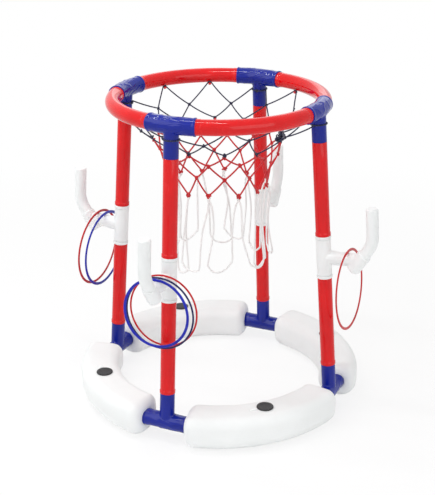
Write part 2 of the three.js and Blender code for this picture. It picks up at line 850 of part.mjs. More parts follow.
function makeWhiteLoops() {
  const work = new CordWork();
  const topRow = nextTop(redLowRow, loopRow, whiteSetbackShare);
  const top = knotRow(work, topRow, 1 / 2);
  top.forEach((from, i) => work.run(from, top[(i + 1) % meshCount], hangingLoop(topRow.drop, i + 1)));
  return work.solid();
}

const net = new THREE.Group();
net.position.z = rimHeight;
addPart(net, 'net_blue_band', makeBlueBand(), finishes.blueCord);
addPart(net, 'net_red_band', makeRedBand(), finishes.redCord);
addPart(net, 'net_white_loops', makeWhiteLoops(), finishes.whiteCord);
model.add(net);

// Toss rings: each is a flat ring that hangs on an arm, its plane square to the arm

const tossRings = [
  { name: 'front_red', leg: 0, sizes: frontRedRing, finish: finishes.ringRed },
  { name: 'front_navy', leg: 0, sizes: frontNavyRing, finish: finishes.ringNavy },
  { name: 'front_blue', leg: 0, sizes: frontBlueRing, finish: finishes.ringBlue },
  { name: 'left_blue', leg: 1, sizes: leftBlueRing, finish: finishes.ringBlue },
  { name: 'left_red', leg: 1, sizes: leftRedRing, finish: finishes.ringRed },
  { name: 'right_red', leg: 3, sizes: rightRedRing, finish: finishes.ringRed },
];

for (const { name, leg, sizes, finish } of tossRings) {
  const { reach, radius, width } = sizes;
  const half = width / 2;
  const torus = new THREE.TorusGeometry(radius - half, half, tossSides, tossSteps);
  const flat = torus.scale(1, 1, tossThickness / width).rotateX(quarter);
  const ring = addPart(legs[leg].leaning, `toss_ring_${name}`, toSolid(flat), finish);
  const hang = armRadius + clearance - (radius - width);
  ring.position.set(0, reach, armHeight + hang);
}

export default model;
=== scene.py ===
"""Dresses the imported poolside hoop: floats, fittings, tubes, hooks, rings, knotted net, studio."""

from __future__ import annotations

import logging
import math
import random
from collections.abc import Callable, Sequence
from dataclasses import dataclass, field
from enum import Enum, Flag
from functools import partial

import bmesh
import bpy
from mathutils import Matrix, Quaternion, Vector, noise

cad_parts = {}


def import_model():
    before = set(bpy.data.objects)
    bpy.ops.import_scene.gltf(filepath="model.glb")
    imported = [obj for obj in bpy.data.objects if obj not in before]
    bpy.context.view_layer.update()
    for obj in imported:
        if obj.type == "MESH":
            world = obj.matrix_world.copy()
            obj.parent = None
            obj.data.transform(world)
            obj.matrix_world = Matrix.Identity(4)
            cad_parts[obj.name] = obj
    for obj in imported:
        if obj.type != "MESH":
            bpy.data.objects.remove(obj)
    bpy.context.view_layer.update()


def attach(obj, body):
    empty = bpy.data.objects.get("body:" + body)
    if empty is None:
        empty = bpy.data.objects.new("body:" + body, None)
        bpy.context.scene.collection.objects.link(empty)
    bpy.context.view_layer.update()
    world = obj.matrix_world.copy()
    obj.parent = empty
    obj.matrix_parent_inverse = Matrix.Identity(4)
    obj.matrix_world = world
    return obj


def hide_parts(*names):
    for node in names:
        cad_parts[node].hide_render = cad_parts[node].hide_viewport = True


LOG = logging.getLogger("hoop")
ROOT_BODY = "frame"
TURN = 2 * math.pi
QUARTER = math.pi / 2
EIGHTH = math.pi / 4

Outline = list[tuple[float, float]]
Corner = tuple[float, float, float]
Ring = list[Vector]
Colour = tuple[float, float, float]
Point = tuple[float, float, float]


class Side(Enum):
    """The four legs, in their order round the hoop."""

    FRONT = 0
    LEFT = 1
    BACK = 2
    RIGHT = 3

    @property
    def label(self) -> str:
        """The side's word in the node names."""
        return self.name.lower()


class Caps(Flag):
    """The ends of a loft that a flat face closes."""

    NONE = 0
    START = 1
    END = 2
    BOTH = 3


@dataclass(frozen=True)
class HoopSizes:
    """Driving sizes of the hoop in metres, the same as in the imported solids."""

    rim_radius: float = 0.2
    base_radius: float = 0.24
    tee_rise: float = 0.037
    tube_radius: float = 0.014
    tube_wall: float = 0.0016
    tube_length: float = 0.183
    base_stub: float = 0.059
    rim_stub: float = 0.059
    sleeve_length: float = 0.085
    clearance: float = 0.0003

    @property
    def lower_tube(self) -> float:
        """Height along the leg at which the lower tube starts."""
        return self.base_stub + self.clearance

    @property
    def arm_height(self) -> float:
        """Height along the leg of the hook's arm."""
        return self.lower_tube + self.tube_length + self.clearance + self.sleeve_length / 2

    @property
    def upper_tube(self) -> float:
        """Height along the leg at which the upper tube starts."""
        return self.arm_height + self.sleeve_length / 2 + self.clearance

    @property
    def leg_length(self) -> float:
        """Length of the leg from the base tee's axis to the rim's middle."""
        return self.upper_tube + self.tube_length + self.clearance + self.rim_stub

    @property
    def leg_tilt(self) -> float:
        """Lean of a leg towards the middle of the hoop."""
        return math.asin((self.base_radius - self.rim_radius) / self.leg_length)

    @property
    def rim_height(self) -> float:
        """Height of the rim's middle above the ground."""
        return self.tee_rise + self.leg_length * math.cos(self.leg_tilt)


HOOP = HoopSizes()


def turn_x(angle: float) -> Matrix:
    """A turn about the X axis."""
    return Matrix.Rotation(angle, 4, "X")


def turn_z(angle: float) -> Matrix:
    """A turn about the Z axis."""
    return Matrix.Rotation(angle, 4, "Z")


def moved(y: float = 0.0, z: float = 0.0) -> Matrix:
    """A shift along Y and Z."""
    return Matrix.Translation((0, y, z))


class Places:
    """Where the repeated pieces stand, as matrices from their own frames to the part's."""

    @staticmethod
    def level(side: Side) -> Matrix:
        """Frame of a leg without its lean: +Y outward, +X along the ring."""
        return turn_z(math.pi - side.value * QUARTER)

    @staticmethod
    def leg(side: Side, height: float = 0.0) -> Matrix:
        """Frame on a leaning leg, +Z up the leg, at a height along it."""
        foot = moved(HOOP.base_radius, HOOP.tee_rise)
        return Places.level(side) @ foot @ turn_x(HOOP.leg_tilt) @ moved(z=height)

    @staticmethod
    def rim(side: Side) -> Matrix:
        """Frame of a leg's side in the plane of the rim, origin in the rim's centre."""
        return Places.level(side) @ moved(z=HOOP.rim_height)

    @staticmethod
    def arc(number: int) -> Matrix:
        """Frame whose +Y points at the middle of a float, on the ground."""
        return turn_z(math.pi - (number - 0.5) * QUARTER)


def angles(count: int) -> list[float]:
    """Angles at even steps over a whole turn."""
    return [TURN * i / count for i in range(count)]


def ease(share: float) -> float:
    """A smooth rise from 0 to 1."""
    return share * share * (3 - 2 * share)


def blunt(value: float, power: float) -> float:
    """A sine or cosine raised to a power, with its sign kept."""
    return math.copysign(abs(value) ** power, value)


def curve(start: Vector, corner: Vector, end: Vector, share: float) -> Vector:
    """A point on the smooth curve that rounds a corner."""
    rest = 1 - share
    return start * rest**2 + corner * 2 * share * rest + end * share**2


def beside_arc(radius: float, turn: float, out: float, height: float) -> Vector:
    """A point beside an arc about Z, at an angle from +Y towards +X."""
    reach = radius + out
    return Vector((reach * math.sin(turn), reach * math.cos(turn), height))


def circle(radius: float, height: float, sides: int) -> Ring:
    """A level ring of points about the Z axis."""
    return [Vector((radius * math.cos(a), radius * math.sin(a), height)) for a in angles(sides)]


def new_object(name: str, data: bpy.types.ID) -> bpy.types.Object:
    """Adds an object to the scene.

    Args:
        name: The object's name.
        data: Its mesh, lamp or camera.

    Returns:
        The new object.
    """
    thing = bpy.data.objects.new(name, data)
    bpy.context.scene.collection.objects.link(thing)
    return thing


class Shell:
    """Rings of points joined into one smooth mesh, with lengths in metres as V."""

    CAP_U = 0.5

    def __init__(self) -> None:
        """Starts without points or faces."""
        self.points: list[Vector] = []
        self.faces: list[tuple[int, ...]] = []
        self.corner_uvs: list[float] = []

    def loft(
        self, rings: Sequence[Ring], *, looped: bool = False, caps: Caps = Caps.NONE
    ) -> None:
        """Joins each ring of points to the next.

        Args:
            rings: Rings with the same number of points.
            looped: Whether the last ring joins the first one.
            caps: The ends that a flat face closes.
        """
        size = len(rings[0])
        base = len(self.points)
        runs = [0.0]
        for before, after in zip(rings, [*rings[1:], rings[0]]):
            runs.append(runs[-1] + (after[0] - before[0]).length)
        for ring in rings:
            self.points.extend(ring)
        for i in range(len(rings) if looped else len(rings) - 1):
            low = base + i * size
            high = base + (i + 1) % len(rings) * size
            v0, v1 = runs[i], runs[i + 1]
            for j in range(size):
                k = (j + 1) % size
                self.faces.append((low + j, low + k, high + k, high + j))
                u0, u1 = j / size, (j + 1) / size
                self.corner_uvs += [u0, v0, u1, v0, u1, v1, u0, v1]
        for end, at in ((Caps.START, 0), (Caps.END, len(rings) - 1)):
            if end in caps:
                first = base + at * size
                self.faces.append(tuple(range(first, first + size)))
                self.corner_uvs += [self.CAP_U, runs[at]] * size

    def mesh(self, name: str) -> bpy.types.Mesh:
        """Makes the mesh, with its faces turned outward and shaded smooth.

        Args:
            name: The mesh's name.

        Returns:
            The new mesh.
        """
        mesh = bpy.data.meshes.new(name)
        mesh.from_pydata([point[:] for point in self.points], [], self.faces)
        layer = mesh.uv_layers.new(name="run")
        layer.uv.foreach_set("vector", self.corner_uvs)
        work = bmesh.new()
        work.from_mesh(mesh)
        bmesh.ops.recalc_face_normals(work, faces=work.faces)
        work.to_mesh(mesh)
        work.free()
        mesh.shade_smooth()
        return mesh


FILLET_ROOM_SHARE = 0.48


def rounded(corners: Sequence[Corner], steps: int = 5) -> Outline:
    """An outline whose corners are rounded.

    Args:
        corners: Radius, height and fillet of each corner.
        steps: Steps on each rounded corner.

    Returns:
        The outline's points (radius, height) in order.
    """
    out: Outline = []
    for i, (radius, height, fillet) in enumerate(corners):
        here = Vector((radius, height))
        if fillet == 0 or i in (0, len(corners) - 1):
            out.append(here[:])
            continue
        to_last = Vector(corners[i - 1][:2]) - here
        to_next = Vector(corners[i + 1][:2]) - here
        half = to_last.angle(to_next) / 2
        room = min(to_last.length, to_next.length) * FILLET_ROOM_SHARE
        reach = min(fillet / math.tan(half), room)
        start = here + to_last.normalized() * reach
        end = here + to_next.normalized() * reach
        out += [curve(start, here, end, k / steps)[:] for k in range(steps + 1)]
    return out


def revolve(shell: Shell, outline: Outline, sides: int, place: Matrix | None = None) -> None:
    """Adds a solid turned about Z; an end on the axis is closed by a small face.

    Args:
        shell: The shell that takes the solid.
        outline: Its outline from one end to the other.
        sides: Its facets.
        place: Its frame, if that isn't the shell's own.
    """
    caps = Caps.NONE
    if outline[0][0] == 0:
        outline = outline[1:]
        caps |= Caps.START
    if outline[-1][0] == 0:
        outline = outline[:-1]
        caps |= Caps.END
    rings = [circle(radius, height, sides) for radius, height in outline]
    if place is not None:
        rings = [[place @ point for point in ring] for ring in rings]
    shell.loft(rings, caps=caps)


def swept(
    path: Sequence[Vector], radius: Callable[[float, float], float], sides: int
) -> list[Ring]:
    """Rings of points square to a path.

    Args:
        path: Points of the route.
        radius: Gives the section's radius from the angle and the length along the route.
        sides: Points in each ring.

    Returns:
        One ring for each point of the path.
    """
    ends = [path[0] * 2 - path[1], *path, path[-1] * 2 - path[-2]]
    heading = (path[1] - path[0]).normalized()
    side = heading.orthogonal().normalized()
    run = 0.0
    rings = []
    for i, point in enumerate(path):
        ahead = (ends[i + 2] - ends[i]).normalized()
        side = heading.rotation_difference(ahead) @ side
        heading = ahead
        up = heading.cross(side)
        run += (point - ends[i]).length if i else 0.0
        ring = []
        for angle in angles(sides):
            spoke = side * math.cos(angle) + up * math.sin(angle)
            ring.append(point + spoke * radius(angle, run))
        rings.append(ring)
    return rings


HALVINGS = 24
ROOT_STEPS = 6
ROOT_SINK_SHARE = 0.25
ROOT_NARROWING = 10


def leaving_height(
    host: Callable[[Vector], float], place: Matrix, spot: Vector, top: float
) -> float:
    """Finds where a line along a tube leaves another surface.

    Args:
        host: Signed distance to the surface, negative inside it.
        place: The tube's frame, +Z along it, origin inside the host.
        spot: The line's point in the frame's level plane.
        top: A height at which the line is outside.

    Returns:
        The height along the tube.
    """
    inside, outside = 0.0, top
    for _ in range(HALVINGS):
        middle = (inside + outside) / 2
        if host(place @ (spot + Vector((0, 0, middle)))) < 0:
            inside = middle
        else:
            outside = middle
    return inside


def branch(
    shell: Shell,
    host: Callable[[Vector], float],
    place: Matrix,
    radius: float,
    blend: float,
    end: Outline,
    sides: int,
) -> None:
    """Adds a tube that grows out of another surface through a smooth root.

    Args:
        shell: The shell that takes the tube.
        host: Signed distance to the other surface, negative inside it.
        place: The tube's frame, +Z along it, origin inside the host.
        radius: The tube's radius.
        blend: Reach of the root's fillet.
        end: Outline of the tube's far end, from its wall on.
        sides: Facets of the tube.
    """
    rings: list[Ring] = [[] for _ in range(ROOT_STEPS + 1)]
    top = end[0][1]
    for spoke in circle(1, 0, sides):
        wide = radius + blend
        while wide > radius and host(place @ (spoke * wide)) > -blend * ROOT_SINK_SHARE:
            wide -= blend / ROOT_NARROWING
        low, corner = (
            spoke * reach + Vector((0, 0, leaving_height(host, place, spoke * reach, top)))
            for reach in (wide, radius)
        )
        high = corner + Vector((0, 0, blend))
        for k, ring in enumerate(rings):
            ring.append(place @ curve(low, corner, high, k / ROOT_STEPS))
    for reach, height in end:
        rings.append([place @ point for point in circle(reach, height, sides)])
    shell.loft(rings)


RIDGE_SLANT = 9
RIDGE_SHARPNESS = 6


def crinkle(angle: float, along: float, seed: float, around: float, length: float) -> float:
    """A height that is large on thin ridges which run slantwise along a tube.

    Args:
        angle: Angle round the tube.
        along: Length along the tube.
        seed: Picks the pattern.
        around: How closely the ridges stand round the tube.
        length: Length over which a ridge changes.

    Returns:
        A share from 0 to 1.
    """
    lean = angle + along * RIDGE_SLANT
    spot = Vector((math.cos(lean) * around, math.sin(lean) * around, along / length + seed))
    return ease(1 - min(1.0, abs(noise.noise(spot)) * RIDGE_SHARPNESS))


class Kind(Enum):
    """Kinds of sockets on the shared node groups."""

    FLOAT = "NodeSocketFloat"
    COLOUR = "NodeSocketColor"
    VECTOR = "NodeSocketVector"


class Nodes:
    """Adds nodes to one tree; an input is given a value, or a socket that it is linked to."""

    def __init__(self, tree: bpy.types.NodeTree) -> None:
        """Keeps the tree that the nodes go into."""
        self.tree = tree

    def put(self, socket: bpy.types.NodeSocket, value: object) -> None:
        """Links a socket to another one, or sets its value.

        Args:
            socket: The input.
            value: A socket or a plain value.
        """
        if isinstance(value, bpy.types.NodeSocket):
            self.tree.links.new(value, socket)
        else:
            socket.default_value = value

    def fill(self, node: bpy.types.Node, **inputs: object) -> None:
        """Puts values into a node's inputs, which are named with _ for a space."""
        for key, value in inputs.items():
            self.put(node.inputs[key.replace("_", " ")], value)

    def add(self, kind: str, *inputs: object, **settings: object) -> bpy.types.Node:
        """Adds a node.

        Args:
            kind: The node's type, without the first word that all shader nodes share.
            *inputs: What goes into the node's first inputs.
            **settings: Properties of the node, or inputs named with _ for a space.

        Returns:
            The new node.
        """
        node = self.tree.nodes.new(f"ShaderNode{kind}")
        for key, value in settings.items():
            if hasattr(node, key):
                setattr(node, key, value)
            else:
                self.fill(node, **{key: value})
        for socket, value in zip(node.inputs, inputs):
            self.put(socket, value)
        return node

    def sum(self, operation: str, *inputs: object, clamp: bool = False) -> bpy.types.NodeSocket:
        """The result of a sum on values or sockets, clamped to 0 and 1 if asked."""
        return self.add("Math", *inputs, operation=operation, use_clamp=clamp).outputs["Value"]

    def noise(self, **settings: object) -> bpy.types.NodeSocket:
        """The value of a noise texture."""
        return self.add("TexNoise", **settings).outputs["Fac"]

    def spread(self, value: bpy.types.NodeSocket, **ends: float) -> bpy.types.NodeSocket:
        """A value moved from one range to another."""
        return self.add("MapRange", Value=value, **ends).outputs["Result"]

    def mix(self, share: object, first: object, second: object) -> bpy.types.NodeSocket:
        """A colour between two others."""
        node = self.add("Mix", data_type="RGBA", Factor=share, A=first, B=second)
        return node.outputs["Result"]

    def bump(self, height: object, strength: float, distance: float) -> bpy.types.NodeSocket:
        """A normal that follows a height."""
        node = self.add("Bump", Height=height, Strength=strength, Distance=distance)
        return node.outputs["Normal"]

    def unrolled(
        self, around: object, along: object
    ) -> tuple[bpy.types.NodeSocket, bpy.types.NodeSocket]:
        """The places round and along a tube, from its UV.

        Args:
            around: What the place round the tube is multiplied by.
            along: What the length along the tube is multiplied by.

        Returns:
            The two products.
        """
        split = self.add("SeparateXYZ", Vector=self.add("TexCoord").outputs["UV"]).outputs
        across = self.sum("MULTIPLY", split["X"], around)
        return across, self.sum("MULTIPLY", split["Y"], along)


class Group(Nodes):
    """A node group that is built once and used by many materials."""

    def __init__(
        self, name: str, inputs: dict[str, tuple[Kind, object]], outputs: dict[str, Kind]
    ) -> None:
        """Makes the group's tree and its sockets.

        Args:
            name: The group's name.
            inputs: Kind and first value of each input, None for a value that is always linked.
            outputs: Kind of each output.
        """
        super().__init__(bpy.data.node_groups.new(name, "ShaderNodeTree"))
        face = self.tree.interface
        for label, (kind, value) in inputs.items():
            socket = face.new_socket(label, in_out="INPUT", socket_type=kind.value)
            if value is not None:
                socket.default_value = value
        for label, kind in outputs.items():
            face.new_socket(label, in_out="OUTPUT", socket_type=kind.value)
        self.given = self.tree.nodes.new("NodeGroupInput").outputs
        self.stop = self.tree.nodes.new("NodeGroupOutput")

    def give(self, **results: bpy.types.NodeSocket) -> bpy.types.NodeTree:
        """Links the group's results and hands out its tree."""
        self.fill(self.stop, **results)
        return self.tree


class Effects:
    """Shared node groups: mottle, moulded skin, drawn lines, laid fibres, scuffs, parting line."""

    SCRATCHES = ((0.5, (40.0, 900.0, 40.0)), (2.1, (900.0, 60.0, 50.0)))

    def __init__(self) -> None:
        """Builds each group once."""
        self.mottle = self.build_mottle()
        self.skin = self.build_skin()
        self.drawn = self.build_drawn()
        self.twist = self.build_twist()
        self.scuffs = self.build_scuffs()
        self.seam = self.build_seam()

    @staticmethod
    def build_mottle() -> bpy.types.NodeTree:
        """Colour that drifts between two tones in soft clouds, with a fine speckle.

        Returns:
            The group's tree.
        """
        inputs = {
            "Vector": (Kind.VECTOR, None),
            "Tone A": (Kind.COLOUR, (1, 1, 1, 1)),
            "Tone B": (Kind.COLOUR, (0.8, 0.8, 0.8, 1)),
            "Scale": (Kind.FLOAT, 12.0),
            "Speckle": (Kind.FLOAT, 0.15),
        }
        group = Group("mottle", inputs, {"Color": Kind.COLOUR, "Mask": Kind.FLOAT})
        given = group.given
        clouds = group.noise(
            Vector=given["Vector"], Scale=given["Scale"], Detail=4.0, Roughness=0.6
        )
        fine = group.noise(Vector=given["Vector"], Scale=900.0, Detail=2.0)
        soft = group.spread(clouds, From_Min=0.35, From_Max=0.65)
        sharp = group.spread(fine, From_Min=0.45, From_Max=0.7)
        speckle = group.sum("MULTIPLY", sharp, given["Speckle"])
        mask = group.sum("ADD", soft, speckle, clamp=True)
        return group.give(Color=group.mix(mask, given["Tone A"], given["Tone B"]), Mask=mask)

    @staticmethod
    def build_skin() -> bpy.types.NodeTree:
        """Height of a moulded skin: slow waves and orange peel.

        Returns:
            The group's tree.
        """
        inputs = {
            "Vector": (Kind.VECTOR, None),
            "Waves": (Kind.FLOAT, 0.6),
            "Peel": (Kind.FLOAT, 0.25),
            "Peel Scale": (Kind.FLOAT, 450.0),
        }
        group = Group("moulded_skin", inputs, {"Height": Kind.FLOAT})
        given = group.given
        waves = group.noise(Vector=given["Vector"], Scale=28.0, Detail=2.0)
        peel = group.noise(
            Vector=given["Vector"], Scale=given["Peel Scale"], Detail=3.0, Roughness=0.55
        )
        wave_height = group.sum("MULTIPLY", waves, given["Waves"])
        peel_height = group.sum("MULTIPLY", peel, given["Peel"])
        return group.give(Height=group.sum("ADD", wave_height, peel_height))

    @staticmethod
    def build_drawn() -> bpy.types.NodeTree:
        """Fine lines that an extruder leaves along a tube.

        Returns:
            The group's tree.
        """
        inputs = {"Around": (Kind.FLOAT, 90.0), "Along": (Kind.FLOAT, 5.0)}
        group = Group("drawn_lines", inputs, {"Mask": Kind.FLOAT})
        around, along = group.unrolled(group.given["Around"], group.given["Along"])
        spot = group.add("CombineXYZ", X=around, Y=along).outputs["Vector"]
        return group.give(Mask=group.noise(Vector=spot, Scale=1.0, Detail=3.0, Roughness=0.65))

    @staticmethod
    def build_twist() -> bpy.types.NodeTree:
        """Slanting fibres of a laid cord: a mask of painted groove shade and a height for bump.

        Returns:
            The group's tree.
        """
        inputs = {"Fibres": (Kind.FLOAT, 9.0), "Lay": (Kind.FLOAT, 300.0)}
        group = Group("laid_fibres", inputs, {"Mask": Kind.FLOAT, "Fuzz": Kind.FLOAT})
        around, along = group.unrolled(group.given["Fibres"], group.given["Lay"])
        slant = group.sum("MULTIPLY", group.sum("SUBTRACT", around, along), TURN)
        mask = group.spread(group.sum("SINE", slant), From_Min=-1.0, From_Max=1.0)
        own = group.add("TexCoord").outputs["Object"]
        return group.give(Mask=mask, Fuzz=group.noise(Vector=own, Scale=1600.0, Detail=3.0))

    @staticmethod
    def build_scuffs() -> bpy.types.NodeTree:
        """Mask of short thin scratches in two directions and of rubbed edges.

        Returns:
            The group's tree.
        """
        inputs = {
            "Vector": (Kind.VECTOR, None),
            "Amount": (Kind.FLOAT, 0.5),
            "Edges": (Kind.FLOAT, 0.5),
        }
        group = Group("scuffs", inputs, {"Mask": Kind.FLOAT})
        given = group.given
        masks = []
        for lean, stretch in Effects.SCRATCHES:
            turn = (lean, lean / 2, lean)
            place = group.add("Mapping", Vector=given["Vector"], Rotation=turn, Scale=stretch)
            lines = group.noise(Vector=place.outputs["Vector"], Scale=1.0, Detail=1.0)
            masks.append(group.spread(lines, From_Min=0.7, From_Max=0.78))
        scratches = group.sum("MULTIPLY", group.sum("MAXIMUM", *masks), given["Amount"])
        shape = group.add("NewGeometry").outputs["Pointiness"]
        edges = group.spread(shape, From_Min=0.53, From_Max=0.62)
        rubbed = group.sum("MULTIPLY", edges, given["Edges"])
        return group.give(Mask=group.sum("ADD", scratches, rubbed, clamp=True))

    @staticmethod
    def build_seam() -> bpy.types.NodeTree:
        """Mask of a level parting line at a height of the object's own frame.

        Returns:
            The group's tree.
        """
        inputs = {
            "Vector": (Kind.VECTOR, None),
            "Height": (Kind.FLOAT, 0.0),
            "Width": (Kind.FLOAT, 0.0006),
        }
        group = Group("parting_line", inputs, {"Mask": Kind.FLOAT})
        given = group.given
        level = group.add("SeparateXYZ", Vector=given["Vector"]).outputs["Z"]
        away = group.sum("ABSOLUTE", group.sum("SUBTRACT", level, given["Height"]))
        share = group.sum("DIVIDE", away, given["Width"])
        return group.give(Mask=group.sum("SUBTRACT", 1.0, share, clamp=True))


@dataclass(frozen=True)
class PlasticFinish:
    """Looks of one moulded or drawn plastic."""

    name: str
    tone: Colour
    deep_tone: Colour
    roughness: float
    rough_spread: float = 0.08
    waves: float = 0.6
    peel: float = 0.2
    peel_scale: float = 450.0
    bump: float = 0.0005
    mottle_scale: float = 10.0
    speckle: float = 0.08
    scuff_amount: float = 0.3
    edge_amount: float = 0.25
    scuff_tone: Colour = (0.9, 0.9, 0.9)
    scuff_share: float = 0.35
    drawn: bool = False
    seam_height: float | None = None
    subsurface: float = 0.0
    gloss: float = 0.5


@dataclass(frozen=True)
class CordFinish:
    """Looks of one laid cord."""

    name: str
    tone: Colour
    # deep_tone is painted shade: the colour of the grooves between the fibres.
    deep_tone: Colour
    roughness: float = 0.75
    sheen: float = 0.3
    gloss: float = 0.3


RED_TUBE = PlasticFinish(
    "red_tube",
    (0.72, 0.003, 0.005),
    (0.6, 0.002, 0.004),
    0.06,
    rough_spread=0.02,
    bump=0.00007,
    drawn=True,
    speckle=0.05,
    scuff_amount=0.12,
    edge_amount=0.1,
    gloss=0.32,
    scuff_share=0.12,
)
BLUE_FITTING = PlasticFinish(
    "blue_fitting",
    (0.006, 0.017, 0.29),
    (0.004, 0.012, 0.22),
    0.07,
    rough_spread=0.03,
    waves=0.9,
    peel=0.1,
    bump=0.0004,
    scuff_amount=0.12,
    edge_amount=0.1,
    gloss=0.28,
    scuff_share=0.1,
)
WHITE_FLOAT = PlasticFinish(
    "white_float",
    (0.892, 0.912, 0.909),
    (0.86, 0.88, 0.877),
    0.45,
    peel=0.35,
    peel_scale=700.0,
    scuff_tone=(0.7, 0.7, 0.7),
    scuff_amount=0.16,
    seam_height=0.0355,
    subsurface=0.08,
    gloss=0.3,
)
WHITE_FITTING = PlasticFinish(
    "white_fitting",
    (0.868, 0.888, 0.886),
    (0.82, 0.838, 0.836),
    0.33,
    scuff_tone=(0.7, 0.7, 0.7),
    scuff_amount=0.15,
    subsurface=0.05,
    gloss=0.35,
)
GREY_PLUG = PlasticFinish(
    "grey_plug",
    (0.036, 0.036, 0.038),
    (0.022, 0.022, 0.024),
    0.62,
    peel=0.8,
    peel_scale=1100.0,
    bump=0.0009,
    scuff_tone=(0.2, 0.2, 0.2),
    speckle=0.4,
)


def ring_finish(name: str, tone: Colour, deep_tone: Colour) -> PlasticFinish:
    """The finish of a toss ring in its two tones."""
    return PlasticFinish(name, tone, deep_tone, 0.3, drawn=True, gloss=0.3, scuff_share=0.1)


RING_RED = ring_finish("ring_red", (0.6, 0.006, 0.01), (0.48, 0.004, 0.008))
RING_BLUE = ring_finish("ring_blue", (0.007, 0.015, 0.44), (0.005, 0.011, 0.33))
RING_NAVY = ring_finish("ring_navy", (0.005, 0.008, 0.1), (0.003, 0.006, 0.07))
# The second tone of each cord is painted shade in its grooves.
BLUE_CORD = CordFinish("blue_cord", (0.008, 0.011, 0.055), (0.004, 0.005, 0.026))
RED_CORD = CordFinish("red_cord", (0.66, 0.013, 0.02), (0.4, 0.006, 0.01))
WHITE_CORD = CordFinish("white_cord", (0.95, 0.95, 0.94), (0.84, 0.84, 0.83))


class Finishes:
    """Makes each material once and hands it out by its finish."""

    SUBSURFACE_RADIUS = (0.004, 0.004, 0.004)
    SCUFF_ROUGHNESS = 0.25
    LINE_SHARE = 0.35
    SEAM_SHARE = 0.6
    SKIN_STRENGTH = 0.5
    GROOVE_SHADE_SHARE = 0.35
    FUZZ_SHARE = 0.6
    CORD_STRENGTH = 0.6
    CORD_DEPTH = 0.0003

    def __init__(self) -> None:
        """Builds the shared node groups and starts without materials."""
        self.effects = Effects()
        self.made: dict[str, bpy.types.Material] = {}

    def of(self, finish: PlasticFinish | CordFinish) -> bpy.types.Material:
        """Hands out the material of a finish.

        Args:
            finish: The finish.

        Returns:
            Its material, made at the first call.
        """
        if finish.name not in self.made:
            build = self.plastic if isinstance(finish, PlasticFinish) else self.cord
            self.made[finish.name] = build(finish)
        return self.made[finish.name]

    @staticmethod
    def start(name: str) -> tuple[bpy.types.Material, Nodes, bpy.types.Node]:
        """Makes a new material.

        Args:
            name: The finish's name.

        Returns:
            The material, its nodes and its main shader.
        """
        material = bpy.data.materials.new(f"{name}_look")
        material.use_nodes = True
        tree = material.node_tree
        return material, Nodes(tree), tree.nodes["Principled BSDF"]

    def plastic(self, look: PlasticFinish) -> bpy.types.Material:
        """A moulded or drawn plastic with drifting colour, skin, scuffs and parting line.

        Args:
            look: The finish.

        Returns:
            The material.
        """
        material, nodes, shader = self.start(look.name)
        effects = self.effects
        own = nodes.add("TexCoord").outputs["Object"]
        colour = nodes.add(
            "Group",
            node_tree=effects.mottle,
            Vector=own,
            Tone_A=(*look.tone, 1),
            Tone_B=(*look.deep_tone, 1),
            Scale=look.mottle_scale,
            Speckle=look.speckle,
        ).outputs
        scuffs = nodes.add(
            "Group",
            node_tree=effects.scuffs,
            Vector=own,
            Amount=look.scuff_amount,
            Edges=look.edge_amount,
        ).outputs["Mask"]
        faint = nodes.sum("MULTIPLY", scuffs, look.scuff_share)
        rough = nodes.spread(
            colour["Mask"], To_Min=look.roughness, To_Max=look.roughness + look.rough_spread
        )
        height = nodes.add(
            "Group",
            node_tree=effects.skin,
            Vector=own,
            Waves=look.waves,
            Peel=look.peel,
            Peel_Scale=look.peel_scale,
        ).outputs["Height"]
        if look.drawn:
            lines = nodes.add("Group", node_tree=effects.drawn).outputs["Mask"]
            height = nodes.sum("MULTIPLY_ADD", lines, self.LINE_SHARE, height)
        if look.seam_height is not None:
            seam = nodes.add("Group", node_tree=effects.seam, Vector=own, Height=look.seam_height)
            height = nodes.sum("MULTIPLY_ADD", seam.outputs["Mask"], self.SEAM_SHARE, height)
        nodes.fill(
            shader,
            Base_Color=nodes.mix(faint, colour["Color"], (*look.scuff_tone, 1)),
            Roughness=nodes.sum(
                "MULTIPLY_ADD", scuffs, self.SCUFF_ROUGHNESS, rough, clamp=True
            ),
            Specular_IOR_Level=look.gloss,
            Subsurface_Weight=look.subsurface,
            Subsurface_Radius=self.SUBSURFACE_RADIUS,
            Normal=nodes.bump(height, self.SKIN_STRENGTH, look.bump),
        )
        return material

    def cord(self, look: CordFinish) -> bpy.types.Material:
        """A laid cord: slanting fibres, fuzz and painted shade in the grooves.

        Args:
            look: The finish.

        Returns:
            The material.
        """
        material, nodes, shader = self.start(look.name)
        fibres = nodes.add("Group", node_tree=self.effects.twist).outputs
        # Painted shade: the grooves between the fibres take the darker tone.
        share = nodes.spread(fibres["Mask"], To_Min=self.GROOVE_SHADE_SHARE)
        height = nodes.sum("MULTIPLY_ADD", fibres["Fuzz"], self.FUZZ_SHARE, fibres["Mask"])
        nodes.fill(
            shader,
            Base_Color=nodes.mix(share, (*look.deep_tone, 1), (*look.tone, 1)),
            Roughness=look.roughness,
            Sheen_Weight=look.sheen,
            Specular_IOR_Level=look.gloss,
            Normal=nodes.bump(height, self.CORD_STRENGTH, self.CORD_DEPTH),
        )
        return material


@dataclass
class Maker:
    """Turns meshes into pieces that ride on a body and stand for CAD nodes."""

    finishes: Finishes
    names: list[str] = field(default_factory=list)

    def piece(
        self,
        name: str,
        mesh: bpy.types.Mesh,
        finish: PlasticFinish | CordFinish,
        body: str,
        place: Matrix | None = None,
        replaces: Sequence[str] = (),
    ) -> None:
        """Adds one piece to the scene.

        Args:
            name: The piece's name.
            mesh: Its mesh, which other pieces may share.
            finish: Its finish.
            body: The CAD body that it rides on.
            place: Its matrix in the part's frame.
            replaces: CAD nodes that it stands for.
        """
        if not mesh.materials:
            mesh.materials.append(self.finishes.of(finish))
        thing = new_object(name, mesh)
        if place is not None:
            thing.matrix_world = place
        bpy.context.view_layer.update()
        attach(thing, body)
        if replaces:
            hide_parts(*replaces)
        self.names.append(name)


